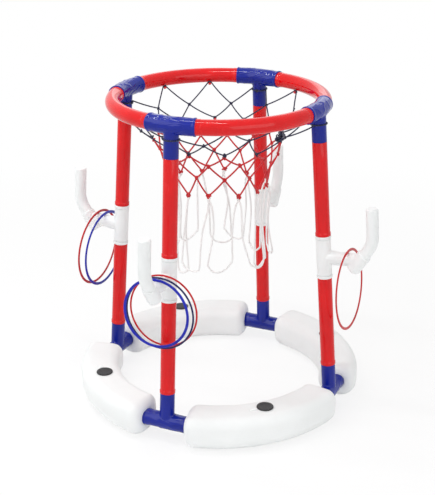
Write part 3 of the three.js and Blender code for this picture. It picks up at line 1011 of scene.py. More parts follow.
@dataclass(frozen=True)
class Floats:
    """The four white floats with their filler lugs and grey plugs; sizes in metres."""

    maker: Maker
    radius: float = 0.244
    width: float = 0.077
    height: float = 0.071
    top_corner: float = 0.021
    foot_corner: float = 0.032
    least_corner: float = 0.004
    shoulder: float = 0.018
    tee_showing: float = 0.084
    socket_radius: float = 0.0168
    socket_depth: float = 0.003
    ripple: float = 0.0005
    lug_length: float = 0.016
    lug_width: float = 0.010
    lug_height: float = 0.004
    lug_gap: float = 0.0012
    lug_sink: float = 0.004
    cap_radius: float = 0.016

    CORNER_STEPS = 10
    CORNER_INSET_SHARE = 0.6
    ARC_STEPS = 72
    SHOULDER_STEPS = 10
    RIPPLE_SCALE = 34
    RIPPLE_SEED = 7.0
    FOOT_CALM_POWER = 4
    SOCKET_LEVELS = ((1.5, 0.0), (1.1, 0.0), (1.0, 0.12), (0.97, 0.4), (0.95, 1.0))
    SOCKET_EDGE_SHARE = 0.97
    LUG_STEPS = 12
    LUG_ACROSS = 8
    LUG_FALL_POWER = 0.8
    LUG_RISE = 9
    LUG_START_SHARE = 0.35
    LUG_NARROWING_SHARE = 0.35
    LUG_SQUARE_POWER = 4
    PLUG_SIDES = 72
    # Radius, height and fillet of each corner, from the dished top round to the hollow.
    PLUG_CORNERS = (
        (0, 0.0029, 0),
        (0.0085, 0.0029, 0.0004),
        (0.0092, 0.0033, 0.0003),
        (0.0138, 0.0035, 0.0012),
        (cap_radius, 0.0026, 0.0014),
        (cap_radius, 0.0004, 0.0004),
        (0.0098, 0.0003, 0.0004),
        (0.0096, -0.004, 0),
        (0.0088, -0.012, 0.0004),
        (0.0072, -0.012, 0.0004),
        (0.0072, 0.0003, 0.0003),
        (0, 0.0003, 0),
    )

    @property
    def tee_angle(self) -> float:
        """Angle at the hoop's middle from a tee's stub to the end of a float."""
        return math.atan(self.tee_showing / 2 / HOOP.base_radius)

    def section(self, inset: float) -> Outline:
        """Points of the rounded-square section.

        Args:
            inset: How far the section is moved in.

        Returns:
            Points (outward, upward) from the section's middle.
        """
        half_width = self.width / 2 - inset
        half_height = self.height / 2 - inset
        top, foot = self.top_corner, self.foot_corner
        quarters = ((1, 1, top), (-1, 1, top), (-1, -1, foot), (1, -1, foot))
        points = []
        for side, (out, up, corner) in enumerate(quarters):
            corner = max(corner - inset * self.CORNER_INSET_SHARE, self.least_corner)
            corner = min(corner, half_width, half_height)
            for i in range(self.CORNER_STEPS + 1):
                turn = (side + i / self.CORNER_STEPS) * QUARTER
                x = out * (half_width - corner) + corner * math.cos(turn)
                points.append((x, up * (half_height - corner) + corner * math.sin(turn)))
        return points

    def place(self, along: float, out: float, up: float) -> Vector:
        """A point of the float from its length along the arc, outward and upward."""
        return beside_arc(self.radius, along / self.radius, out, up + self.height / 2)

    def stations(self, end: float) -> Outline:
        """Where the sections stand.

        Args:
            end: Half the float's length along its arc.

        Returns:
            Length along the arc and inset of each section.
        """
        middle = end - self.shoulder
        falling = []
        for i in range(self.SHOULDER_STEPS + 1):
            turn = i / self.SHOULDER_STEPS * QUARTER
            inset = self.shoulder * (1 - math.cos(turn))
            falling.append((end - self.shoulder * (1 - math.sin(turn)), inset))
        steps = self.ARC_STEPS
        flat = [(middle * (2 * i / steps - 1), 0.0) for i in range(1, steps)]
        return [*((-along, inset) for along, inset in reversed(falling)), *flat, *falling]

    def body_mesh(self, number: int) -> bpy.types.Mesh:
        """The blow-moulded body with rounded shoulders and a shallow socket in each end.

        Args:
            number: The float's number, which picks its ripples.

        Returns:
            The mesh, its middle on +Y.
        """
        end = (EIGHTH - self.tee_angle) * self.radius
        seed = Vector((0, 0, number * self.RIPPLE_SEED))
        rings = []
        for along, inset in self.stations(end):
            ring = []
            for out, up in self.section(inset):
                wave = noise.noise(self.place(along, out, up) * self.RIPPLE_SCALE + seed)
                away = Vector((out, up)).normalized()
                calm = max(0.0, -up / (self.height / 2)) ** self.FOOT_CALM_POWER
                lift = wave * self.ripple * (1 - calm)
                ring.append(self.place(along, out + away.x * lift, up + away.y * lift))
            rings.append(ring)
        first = self.socket(-end, rings[0])
        last = self.socket(end, rings[-1])
        shell = Shell()
        shell.loft([*reversed(first), *rings, *last], caps=Caps.BOTH)
        return shell.mesh(f"float_{number}_body")

    def socket(self, along: float, edge: Ring) -> list[Ring]:
        """A shallow round recess about the tee's tube.

        Args:
            along: Length along the arc of the flat end face.
            edge: The ring of points round the end face.

        Returns:
            Rings from the end face into the recess.
        """
        tube_out = HOOP.base_radius / math.cos(self.tee_angle) - self.radius
        centre = self.place(along, tube_out, HOOP.tee_rise - self.height / 2)
        turn = along / self.radius
        inward = Vector((math.cos(turn), -math.sin(turn), 0)) * -math.copysign(1, along)
        rings = []
        for share, depth in self.SOCKET_LEVELS:
            ring = []
            for point in edge:
                spoke = (point - centre).normalized()
                spoke = (spoke - inward * spoke.dot(inward)).normalized()
                room = (point - centre).length * self.SOCKET_EDGE_SHARE
                reach = min(self.socket_radius * share, room)
                ring.append(centre + spoke * reach + inward * self.socket_depth * depth)
            rings.append(ring)
        return rings

    def lug_mesh(self) -> bpy.types.Mesh:
        """A soft ramp beside the plug, highest next to it.

        Returns:
            The mesh, running along X from the plug's axis.
        """
        rings = []
        for i in range(self.LUG_STEPS + 1):
            share = i / self.LUG_STEPS
            rise = min(1.0, share * self.LUG_RISE + self.LUG_START_SHARE)
            height = self.lug_height * (1 - share) ** self.LUG_FALL_POWER * rise
            half = self.lug_width / 2 * (1 - self.LUG_NARROWING_SHARE * share)
            along = self.cap_radius + self.lug_gap + self.lug_length * share
            ring = []
            for k in range(self.LUG_ACROSS + 1):
                across = math.cos(math.pi * k / self.LUG_ACROSS)
                swell = math.sqrt(max(0.0, 1 - abs(across) ** self.LUG_SQUARE_POWER))
                ring.append(Vector((along, half * across, height * swell)))
            ring += [Vector((along, y, -self.lug_sink)) for y in (-half, half)]
            rings.append(ring)
        shell = Shell()
        shell.loft(rings, caps=Caps.BOTH)
        return shell.mesh("filler_lug")

    def plug_mesh(self) -> bpy.types.Mesh:
        """A soft plug: dished cap with a grip rim and a tapered shank, hollow from below.

        Returns:
            The mesh, its axis on Z and the float's top at zero.
        """
        shell = Shell()
        revolve(shell, rounded(self.PLUG_CORNERS), self.PLUG_SIDES)
        return shell.mesh("filler_plug")

    def build(self) -> None:
        """Adds the floats, their lugs and their plugs."""
        lug_mesh = self.lug_mesh()
        plug_mesh = self.plug_mesh()
        for number in range(1, 5):
            spot = Places.arc(number)
            seat = spot @ moved(self.radius, self.height)
            name = f"float_{number}"
            body = self.body_mesh(number)
            self.maker.piece(f"{name}_body", body, WHITE_FLOAT, ROOT_BODY, spot, [name])
            self.maker.piece(f"{name}_lug", lug_mesh, WHITE_FLOAT, ROOT_BODY, seat)
            plug = f"filler_plug_{number}"
            self.maker.piece(f"{plug}_cap", plug_mesh, GREY_PLUG, f"plug_{number}", seat, [plug])


@dataclass(frozen=True)
class Tees:
    """The blue tees, straight between the floats and curved round the rim; sizes in metres."""

    maker: Maker
    cross_radius: float = 0.0155
    cross_half: float = 0.0697
    flare: float = 0.0005
    flare_start: float = 0.03
    flare_length: float = 0.008
    ridge: float = 0.0011
    root: float = 0.0035
    lip_start: float = 0.004
    lip: float = 0.0006
    spigot_radius: float = 0.0117
    spigot_length: float = 0.012
    spigot_fillet: float = 0.0003
    sleeve_radius: float = 0.0161
    sleeve_bead: float = 0.0009
    sleeve_half: float = 0.046
    bead_length: float = 0.005
    bead_shift: float = 0.0002
    end_inset: float = 0.0004
    end_rise: float = 0.0004
    end_drop: float = 0.0005
    tube_radius: float = 0.0145

    SIDES = 96
    STUB_SIDES = 72
    CROSS_STEPS = 96
    SLEEVE_STEPS = 44
    BEAD_STEPS = 8
    BEAD_START_SHARE = 0.25
    CALM_POWER = 4
    CALM = 2.2
    CROSS_RIDGED = 0.042
    SLEEVE_RIDGED = 0.044
    SLEEVE_RIDGE_TURN = 1.2
    COARSE = (1.5, 0.035)
    COARSE_SHARE = 0.65
    FINE = (2.6, 0.05)
    FINE_SHARE = 0.35
    FINE_TURN = 0.3
    FINE_SEED = 9
    BASE_SEED = 3.0
    BASE_SEED_STEP = 11
    RIM_SEED = 5.0
    RIM_SEED_STEP = 13

    def add_stub(
        self, shell: Shell, host: Callable[[Vector], float], place: Matrix, length: float
    ) -> None:
        """Adds the stub that carries the leg: root, rounded lip and the spigot in the tube.

        Args:
            shell: The shell that takes the stub.
            host: Signed distance to the tube that it grows out of.
            place: The stub's frame.
            length: The stub's length.
        """
        end = rounded(
            [
                (HOOP.tube_radius, length - self.lip_start, 0),
                (HOOP.tube_radius, length, self.lip),
                (self.spigot_radius, length, self.spigot_fillet),
                (self.spigot_radius, length + self.spigot_length, 0),
            ]
        )
        branch(shell, host, place, HOOP.tube_radius, self.root, end, self.STUB_SIDES)

    def ridges(self, angle: float, along: float, seed: float, length: float) -> float:
        """Lift of the crinkled skin, strongest beside the stub.

        Args:
            angle: Angle round the tube.
            along: Length along the tube from the stub.
            seed: Picks the pattern.
            length: Length over which the ridges die away.

        Returns:
            The lift in metres.
        """
        calm = math.exp(-((abs(along) / length) ** self.CALM_POWER) * self.CALM)
        coarse = crinkle(angle, along, seed, *self.COARSE)
        fine = crinkle(angle + self.FINE_TURN, along, seed + self.FINE_SEED, *self.FINE)
        return self.ridge * calm * (self.COARSE_SHARE * coarse + self.FINE_SHARE * fine)

    def off_cross(self, point: Vector) -> float:
        """Distance of a point from the cross tube's wall."""
        return math.hypot(point.y, point.z) - self.cross_radius

    def off_sleeve(self, point: Vector) -> float:
        """Distance of a point from the curved sleeve's wall."""
        out = math.hypot(point.x, point.y) - HOOP.rim_radius
        return math.hypot(out, point.z) - self.sleeve_radius

    def base_mesh(self, seed: float) -> bpy.types.Mesh:
        """Cross tube along X with its stub along Z.

        Args:
            seed: Picks the ridges.

        Returns:
            The mesh.
        """
        rings = []
        for i in range(self.CROSS_STEPS + 1):
            along = self.cross_half * (2 * i / self.CROSS_STEPS - 1)
            past = max(0.0, min(1.0, (abs(along) - self.flare_start) / self.flare_length))
            radius = self.cross_radius + self.flare * ease(past)
            ring = []
            for angle in angles(self.SIDES):
                reach = radius + self.ridges(angle, along, seed, self.CROSS_RIDGED)
                ring.append(Vector((along, reach * math.sin(angle), reach * math.cos(angle))))
            rings.append(ring)
        shell = Shell()
        shell.loft(rings, caps=Caps.BOTH)
        self.add_stub(shell, self.off_cross, Matrix(), HOOP.base_stub)
        return shell.mesh(f"base_tee_{int(seed)}")

    def rim_mesh(self, seed: float) -> bpy.types.Mesh:
        """Curved sleeve with beaded ends about the rim, its stub down the leg.

        Args:
            seed: Picks the ridges.

        Returns:
            The mesh.
        """
        rings = []
        for along, radius in self.sleeve_stations():
            ring = []
            for angle in angles(self.SIDES):
                reach = radius
                if radius > self.tube_radius:
                    turn = angle + self.SLEEVE_RIDGE_TURN
                    reach += self.ridges(turn, along, seed, self.SLEEVE_RIDGED)
                out, up = reach * math.cos(angle), reach * math.sin(angle)
                ring.append(beside_arc(HOOP.rim_radius, along / HOOP.rim_radius, out, up))
            rings.append(ring)
        shell = Shell()
        shell.loft(rings)
        down = moved(HOOP.rim_radius) @ turn_x(HOOP.leg_tilt) @ turn_x(math.pi)
        self.add_stub(shell, self.off_sleeve, down, HOOP.rim_stub)
        return shell.mesh(f"rim_tee_{int(seed)}")

    def sleeve_stations(self) -> Outline:
        """Where the sleeve's rings stand, its beaded ends turned in to the tube.

        Returns:
            Length along the rim and radius of each ring.
        """
        half = self.sleeve_half
        outer = [
            (half - self.end_inset, self.tube_radius - self.end_drop),
            (half, self.tube_radius + self.end_rise),
        ]
        for i in range(self.BEAD_STEPS + 1):
            share = i / self.BEAD_STEPS
            rise = self.BEAD_START_SHARE + share * (1 - self.BEAD_START_SHARE)
            radius = self.sleeve_radius + self.sleeve_bead * math.sin(math.pi * rise)
            outer.append((half - self.bead_length * share - self.bead_shift, radius))
        inner = half - self.bead_length
        count = self.SLEEVE_STEPS
        middle = [(inner * (1 - 2 * i / count), self.sleeve_radius) for i in range(1, count)]
        return [*outer, *middle, *((-along, radius) for along, radius in reversed(outer))]

    def build(self) -> None:
        """Adds the eight tees."""
        for side in Side:
            base = self.base_mesh(self.BASE_SEED + side.value * self.BASE_SEED_STEP)
            rim = self.rim_mesh(self.RIM_SEED + side.value * self.RIM_SEED_STEP)
            for kind, mesh, place in (("base", base, Places.leg), ("rim", rim, Places.rim)):
                name = f"{kind}_tee_{side.label}"
                spot = place(side)
                self.maker.piece(f"{name}_body", mesh, BLUE_FITTING, ROOT_BODY, spot, [name])


@dataclass(frozen=True)
class Tubes:
    """The red tubes of the legs and of the rim, with the net's pegs; sizes in metres."""

    maker: Maker
    bell: float = 0.0009
    bell_length: float = 0.0055
    bell_slope: float = 0.0018
    bell_fillet: float = 0.0005
    slope_fillet: float = 0.001
    lip: float = 0.0006
    inside: float = 0.012
    rim_radius: float = 0.0145
    rim_bell: float = 0.0004
    rim_bell_length: float = 0.0085
    hidden: float = 0.02
    peg_stem: float = 0.0017
    peg_root: float = 0.0012
    peg_sink: float = 0.001
    peg_head: float = 0.003
    peg_length: float = 0.0056
    peg_head_length: float = 0.002
    peg_head_rise: float = 0.0002

    SIDES = 72
    FILLET_STEPS = 4
    MIDDLE_SHARES = (0.35, 0.65)
    RIM_STEPS = 90
    # Length past the plain rim and share of the bell at each ring of its step.
    BELL_STEP = ((0.0012, 1.0), (0.0006, 0.4), (0.0002, -0.3))
    PEG_SIDES = 24
    PEG_SLOPE = EIGHTH
    PEG_FILLETS = (0.001, 0.0004, 0.0005, 0.0009)

    def leg_mesh(self) -> bpy.types.Mesh:
        """A drawn tube, belled at its lower end.

        Returns:
            The mesh, its lower end at zero.
        """
        outer = HOOP.tube_radius
        inner = outer - HOOP.tube_wall
        bell = outer + self.bell
        length = HOOP.tube_length
        outline = rounded(
            [
                (inner, self.inside, 0),
                (inner, 0, self.lip),
                (bell, 0, self.lip),
                (bell, self.bell_length, self.bell_fillet),
                (outer, self.bell_length + self.bell_slope, self.slope_fillet),
                *((outer, length * share, 0) for share in self.MIDDLE_SHARES),
                (outer, length, self.lip),
                (inner, length, self.lip),
                (inner, length - self.inside, 0),
            ],
            self.FILLET_STEPS,
        )
        shell = Shell()
        revolve(shell, outline, self.SIDES)
        return shell.mesh("leg_tube")

    def rim_mesh(self) -> bpy.types.Mesh:
        """A quarter of the rim: a bent tube with slightly belled ends and two pegs.

        Returns:
            The mesh, its middle on +Y.
        """
        free = QUARTER * HOOP.rim_radius / 2 - Tees.sleeve_half
        plain = free - self.rim_bell_length
        start = [(-free - self.hidden, self.rim_radius), (-free, self.rim_radius + self.rim_bell)]
        for past, share in self.BELL_STEP:
            start.append((-plain - past, self.rim_radius + self.rim_bell * share))
        steps = range(self.RIM_STEPS + 1)
        middle = [(plain * (2 * i / self.RIM_STEPS - 1), self.rim_radius) for i in steps]
        end = [(-along, radius) for along, radius in reversed(start)]
        rings = []
        for along, radius in [*start, *middle, *end]:
            turn = along / HOOP.rim_radius
            spokes = [(radius * math.cos(a), radius * math.sin(a)) for a in angles(self.SIDES)]
            rings.append([beside_arc(HOOP.rim_radius, turn, out, up) for out, up in spokes])
        shell = Shell()
        shell.loft(rings)
        for side in (-0.5, 0.5):
            self.add_peg(shell, TURN / Net.MESHES * side)
        return shell.mesh("rim_tube")

    def add_peg(self, shell: Shell, turn: float) -> None:
        """Adds a headed peg that points inward and down.

        Args:
            shell: The shell that takes the peg.
            turn: Its angle from the middle of the rim tube.
        """
        root, stem, head, crown = self.PEG_FILLETS
        neck = self.rim_radius + self.peg_length
        top = neck + self.peg_head_length
        outline = rounded(
            [
                (self.peg_stem + self.peg_root, self.rim_radius - self.peg_sink, 0),
                (self.peg_stem, self.rim_radius + self.peg_root, root),
                (self.peg_stem, neck, stem),
                (self.peg_head, neck + self.peg_head_rise, head),
                (self.peg_head, top, crown),
                (0, top, 0),
            ]
        )
        place = turn_z(turn) @ moved(HOOP.rim_radius) @ turn_x(QUARTER + self.PEG_SLOPE)
        revolve(shell, outline, self.PEG_SIDES, place)

    def build(self) -> None:
        """Adds the leg tubes and the rim tubes."""
        leg_mesh = self.leg_mesh()
        rim_mesh = self.rim_mesh()
        for side in Side:
            for word, height in (("lower", HOOP.lower_tube), ("upper", HOOP.upper_tube)):
                name = f"{word}_leg_{side.label}"
                place = Places.leg(side, height)
                self.maker.piece(f"{name}_tube", leg_mesh, RED_TUBE, ROOT_BODY, place, [name])
        for number in range(1, 5):
            name = f"rim_tube_{number}"
            place = Places.arc(number) @ moved(z=HOOP.rim_height)
            self.maker.piece(f"{name}_bend", rim_mesh, RED_TUBE, ROOT_BODY, place, [name])


@dataclass(frozen=True)
class Hooks:
    """The white hooks: a sleeve on the leg, an arm with a cup and a bent tube; sizes in metres."""

    maker: Maker
    sleeve_radius: float = 0.0144
    collar_radius: float = 0.0153
    collar_length: float = 0.005
    collar_fillet: float = 0.0006
    collar_lip: float = 0.0008
    groove_radius: float = 0.0129
    groove_width: float = 0.0016
    groove_fillet: float = 0.0002
    groove_sink: float = 0.003
    spigot_radius: float = 0.0118
    spigot_length: float = 0.01
    spigot_fillet: float = 0.0003
    arm_radius: float = 0.011
    arm_root: float = 0.0125
    arm_root_end: float = 0.014
    arm_taper_end: float = 0.034
    cup_reach: float = 0.074
    cup_radius: float = 0.0139
    cup_drop: float = 0.03
    cup_rise: float = 0.012
    cup_lip: float = 0.0008
    nose_share: float = 0.72
    nose_fillet: float = 0.003
    nose_shoulder: float = 0.006
    lean: float = math.radians(38)
    tube_radius: float = 0.0117
    tube_seat: float = 0.004
    post_reach: float = 0.098
    post_top: float = 0.103
    bend_radius: float = 0.056
    top_fillet: float = 0.0035
    web_start: float = 0.006
    web_short: float = 0.008
    web_depth: float = 0.017
    web_half: float = 0.0026

    SIDES = 64
    ARM_SIDES = 48
    CUP_STEPS = 6
    TRIM_SIDES = 72
    WEB_SECTION = ((-1, 0), (-1, -0.85), (-0.5, -1), (0.5, -1), (1, -0.85), (1, 0))
    WEB_STEPS = 8
    WEB_RISE_SHARE = 0.12
    VOXEL = 0.00085
    SMOOTHING = 9
    SMOOTH_FACTOR = 0.5
    LOW_STEPS = 16
    BEND_STEPS = 24
    POST_STEPS = 20
    TOP_STEPS = 8
    TOP_SHARES = (0.5, 0.1)

    def cup_place(self) -> Matrix:
        """Frame of the cup: its axis crosses the arm and leans outward."""
        return moved(self.cup_reach) @ turn_x(-self.lean)

    def core_mesh(self) -> bpy.types.Mesh:
        """Sleeve, arm, web and cup melted into one skin with soft inner corners.

        Returns:
            The mesh, its sleeve on Z and its arm along +Y.
        """
        half = HOOP.sleeve_length / 2 - self.collar_length - self.groove_width
        nose = self.cup_radius * self.nose_share
        shoulder = self.cup_radius - nose - self.cup_drop
        sleeve = [(0, -half), (self.sleeve_radius, -half), (self.sleeve_radius, half), (0, half)]
        arm = [
            (0, 0),
            (self.arm_root, 0),
            (self.arm_root, self.arm_root_end),
            (self.arm_radius, self.arm_taper_end),
            (self.arm_radius, self.cup_reach),
            (0, self.cup_reach),
        ]
        cup = rounded(
            [
                (0, -self.cup_drop, 0),
                (nose, -self.cup_drop, self.nose_fillet),
                (self.cup_radius, shoulder, self.nose_shoulder),
                (self.cup_radius, self.cup_rise, self.cup_lip),
                (0, self.cup_rise, 0),
            ],
            self.CUP_STEPS,
        )
        shell = Shell()
        revolve(shell, sleeve, self.SIDES)
        revolve(shell, arm, self.ARM_SIDES, turn_x(-QUARTER))
        revolve(shell, cup, self.SIDES, self.cup_place())
        self.add_web(shell)
        return self.melt(shell.mesh("hook_core_parts"))

    def add_web(self, shell: Shell) -> None:
        """Adds a tall rounded rib under the arm, from the sleeve to the cup.

        Args:
            shell: The shell that takes the rib.
        """
        rings = []
        for i in range(self.WEB_STEPS + 1):
            share = i / self.WEB_STEPS
            reach = self.web_start + (self.cup_reach - self.web_short) * share
            depth = self.web_depth * (1 - self.WEB_RISE_SHARE * share)
            ring = [Vector((x * self.web_half, reach, z * depth)) for x, z in self.WEB_SECTION]
            rings.append(ring)
        shell.loft(rings, caps=Caps.BOTH)

    def melt(self, mesh: bpy.types.Mesh) -> bpy.types.Mesh:
        """Joins overlapping parts of a mesh by a voxel remesh and smooths the result.

        Args:
            mesh: The mesh, which is used up.

        Returns:
            The joined mesh.
        """
        helper = new_object("melting", mesh)
        remesh = helper.modifiers.new("melt", "REMESH")
        remesh.mode = "VOXEL"
        remesh.voxel_size = self.VOXEL
        smooth = helper.modifiers.new("soften", "SMOOTH")
        smooth.factor = self.SMOOTH_FACTOR
        smooth.iterations = self.SMOOTHING
        graph = bpy.context.evaluated_depsgraph_get()
        done = bpy.data.meshes.new_from_object(helper.evaluated_get(graph))
        bpy.data.objects.remove(helper)
        bpy.data.meshes.remove(mesh)
        done.name = "hook_core"
        done.shade_smooth()
        return done

    def trim_mesh(self) -> bpy.types.Mesh:
        """Collars at the sleeve's ends with their grooves and spigots.

        Returns:
            The mesh, its axis on Z.
        """
        half = HOOP.sleeve_length / 2
        inner = half - self.collar_length
        shell = Shell()
        for end in (-1, 1):
            outline = rounded(
                [
                    (self.groove_radius, end * (inner - self.groove_sink), 0),
                    (self.groove_radius, end * inner, self.groove_fillet),
                    (self.collar_radius, end * inner, self.collar_fillet),
                    (self.collar_radius, end * half, self.collar_lip),
                    (self.spigot_radius, end * half, self.spigot_fillet),
                    (self.spigot_radius, end * (half + self.spigot_length), 0),
                ]
            )
            revolve(shell, outline, self.TRIM_SIDES)
        return shell.mesh("hook_trim")

    def tube_path(self) -> Ring:
        """The bent tube's middle line, from its seat in the cup to the start of its round top.

        Returns:
            Points of the line.
        """
        shift = self.bend_radius * (1 - math.cos(self.lean))
        rise = self.bend_radius * math.sin(self.lean)
        bend_low = (self.post_reach - self.cup_reach - shift) / math.tan(self.lean)
        seat = self.cup_place() @ Vector((0, 0, self.tube_seat - self.cup_drop))
        bend_start = Vector((0, self.post_reach - shift, bend_low))
        path = [seat.lerp(bend_start, i / self.LOW_STEPS) for i in range(self.LOW_STEPS)]
        for i in range(self.BEND_STEPS + 1):
            turn = self.lean * (1 - i / self.BEND_STEPS)
            out = self.post_reach - self.bend_radius * (1 - math.cos(turn))
            path.append(Vector((0, out, bend_low + rise - self.bend_radius * math.sin(turn))))
        bend_end = path[-1]
        top = Vector((0, self.post_reach, self.post_top)) - Vector((0, 0, self.top_fillet))
        steps = range(1, self.POST_STEPS + 1)
        return [*path, *(bend_end.lerp(top, i / self.POST_STEPS) for i in steps)]

    def tube_mesh(self) -> bpy.types.Mesh:
        """The bent tube that stands in the cup, with a rounded closed top.

        Returns:
            The mesh, in the frame of the hook's arm.
        """
        path = self.tube_path()
        rings = swept(path, lambda _angle, _run: self.tube_radius, self.SIDES)
        levels = []
        for i in range(1, self.TOP_STEPS + 1):
            turn = QUARTER * i / self.TOP_STEPS
            reach = self.tube_radius - self.top_fillet * (1 - math.cos(turn))
            levels.append((reach / self.tube_radius, self.top_fillet * math.sin(turn)))
        levels += [(share, self.top_fillet) for share in self.TOP_SHARES]
        centre, last = path[-1], rings[-1]
        for share, height in levels:
            up = Vector((0, 0, height))
            rings.append([centre + (point - centre) * share + up for point in last])
        shell = Shell()
        shell.loft(rings, caps=Caps.BOTH)
        return shell.mesh("hook_tube")

    def build(self) -> None:
        """Adds the four hooks."""
        core = self.core_mesh()
        trim = self.trim_mesh()
        tube = self.tube_mesh()
        for side in Side:
            body = f"hook_{side.label}"
            place = Places.leg(side, HOOP.arm_height)
            name = f"hook_tee_{side.label}"
            self.maker.piece(f"{name}_core", core, WHITE_FITTING, body, place, [name])
            self.maker.piece(f"{name}_trim", trim, WHITE_FITTING, body, place)
            name = f"hook_tube_{side.label}"
            self.maker.piece(f"{name}_bend", tube, WHITE_FITTING, body, place, [name])


@dataclass(frozen=True)
class TossRing:
    """One thin ring that hangs on a hook's arm; sizes in metres."""

    name: str
    side: Side
    reach: float
    radius: float
    width: float
    finish: PlasticFinish


@dataclass(frozen=True)
class TossRings:
    """The flat toss rings on the arms; sizes in metres."""

    maker: Maker
    thickness: float = 0.0026

    STEPS = 180
    SIDES = 20
    OVAL_POWER = 0.75
    RINGS = (
        TossRing("front_red", Side.FRONT, 0.022, 0.069, 0.0034, RING_RED),
        TossRing("front_navy", Side.FRONT, 0.037, 0.069, 0.0034, RING_NAVY),
        TossRing("front_blue", Side.FRONT, 0.052, 0.066, 0.0052, RING_BLUE),
        TossRing("left_blue", Side.LEFT, 0.038, 0.08, 0.006, RING_BLUE),
        TossRing("left_red", Side.LEFT, 0.054, 0.08, 0.0054, RING_RED),
        TossRing("right_red", Side.RIGHT, 0.049, 0.079, 0.0054, RING_RED),
    )

    def mesh(self, ring: TossRing) -> bpy.types.Mesh:
        """A flat oval section turned about Y.

        Args:
            ring: The ring.

        Returns:
            Its mesh.
        """
        half = ring.width / 2
        middle = ring.radius - half
        rings = []
        for turn in angles(self.STEPS):
            spoke = Vector((math.sin(turn), 0, math.cos(turn)))
            section = []
            for angle in angles(self.SIDES):
                out = blunt(math.cos(angle), self.OVAL_POWER) * half
                across = blunt(math.sin(angle), self.OVAL_POWER) * self.thickness / 2
                section.append(spoke * (middle + out) + Vector((0, across, 0)))
            rings.append(section)
        shell = Shell()
        shell.loft(rings, looped=True)
        return shell.mesh(f"ring_{ring.name}")

    def build(self) -> None:
        """Adds the rings."""
        for ring in self.RINGS:
            hang = Hooks.arm_radius + HOOP.clearance - (ring.radius - ring.width)
            place = Places.leg(ring.side, HOOP.arm_height) @ moved(ring.reach, hang)
            name = f"toss_ring_{ring.name}"
            body = f"ring_{ring.name}"
            self.maker.piece(f"{name}_hoop", self.mesh(ring), ring.finish, body, place, [name])


def smooth_route(route: Sequence[Vector], step: float) -> list[Vector]:
    """Points at even spacing on a smooth curve through the route's points.

    Args:
        route: Points of the route.
        step: Length between the new points.

    Returns:
        The new points, which hold the route's own.
    """
    ends = [route[0] * 2 - route[1], *route, route[-1] * 2 - route[-2]]
    points = [route[0].copy()]
    for i in range(len(route) - 1):
        a, b, c, d = ends[i : i + 4]
        count = max(2, round((c - b).length / step))
        for k in range(1, count + 1):
            t = k / count
            point = (
                b * 2
                + (c - a) * t
                + (a * 2 - b * 5 + c * 4 - d) * t**2
                + (b * 3 - a - c * 3 + d) * t**3
            ) * 0.5
            points.append(point)
    return points


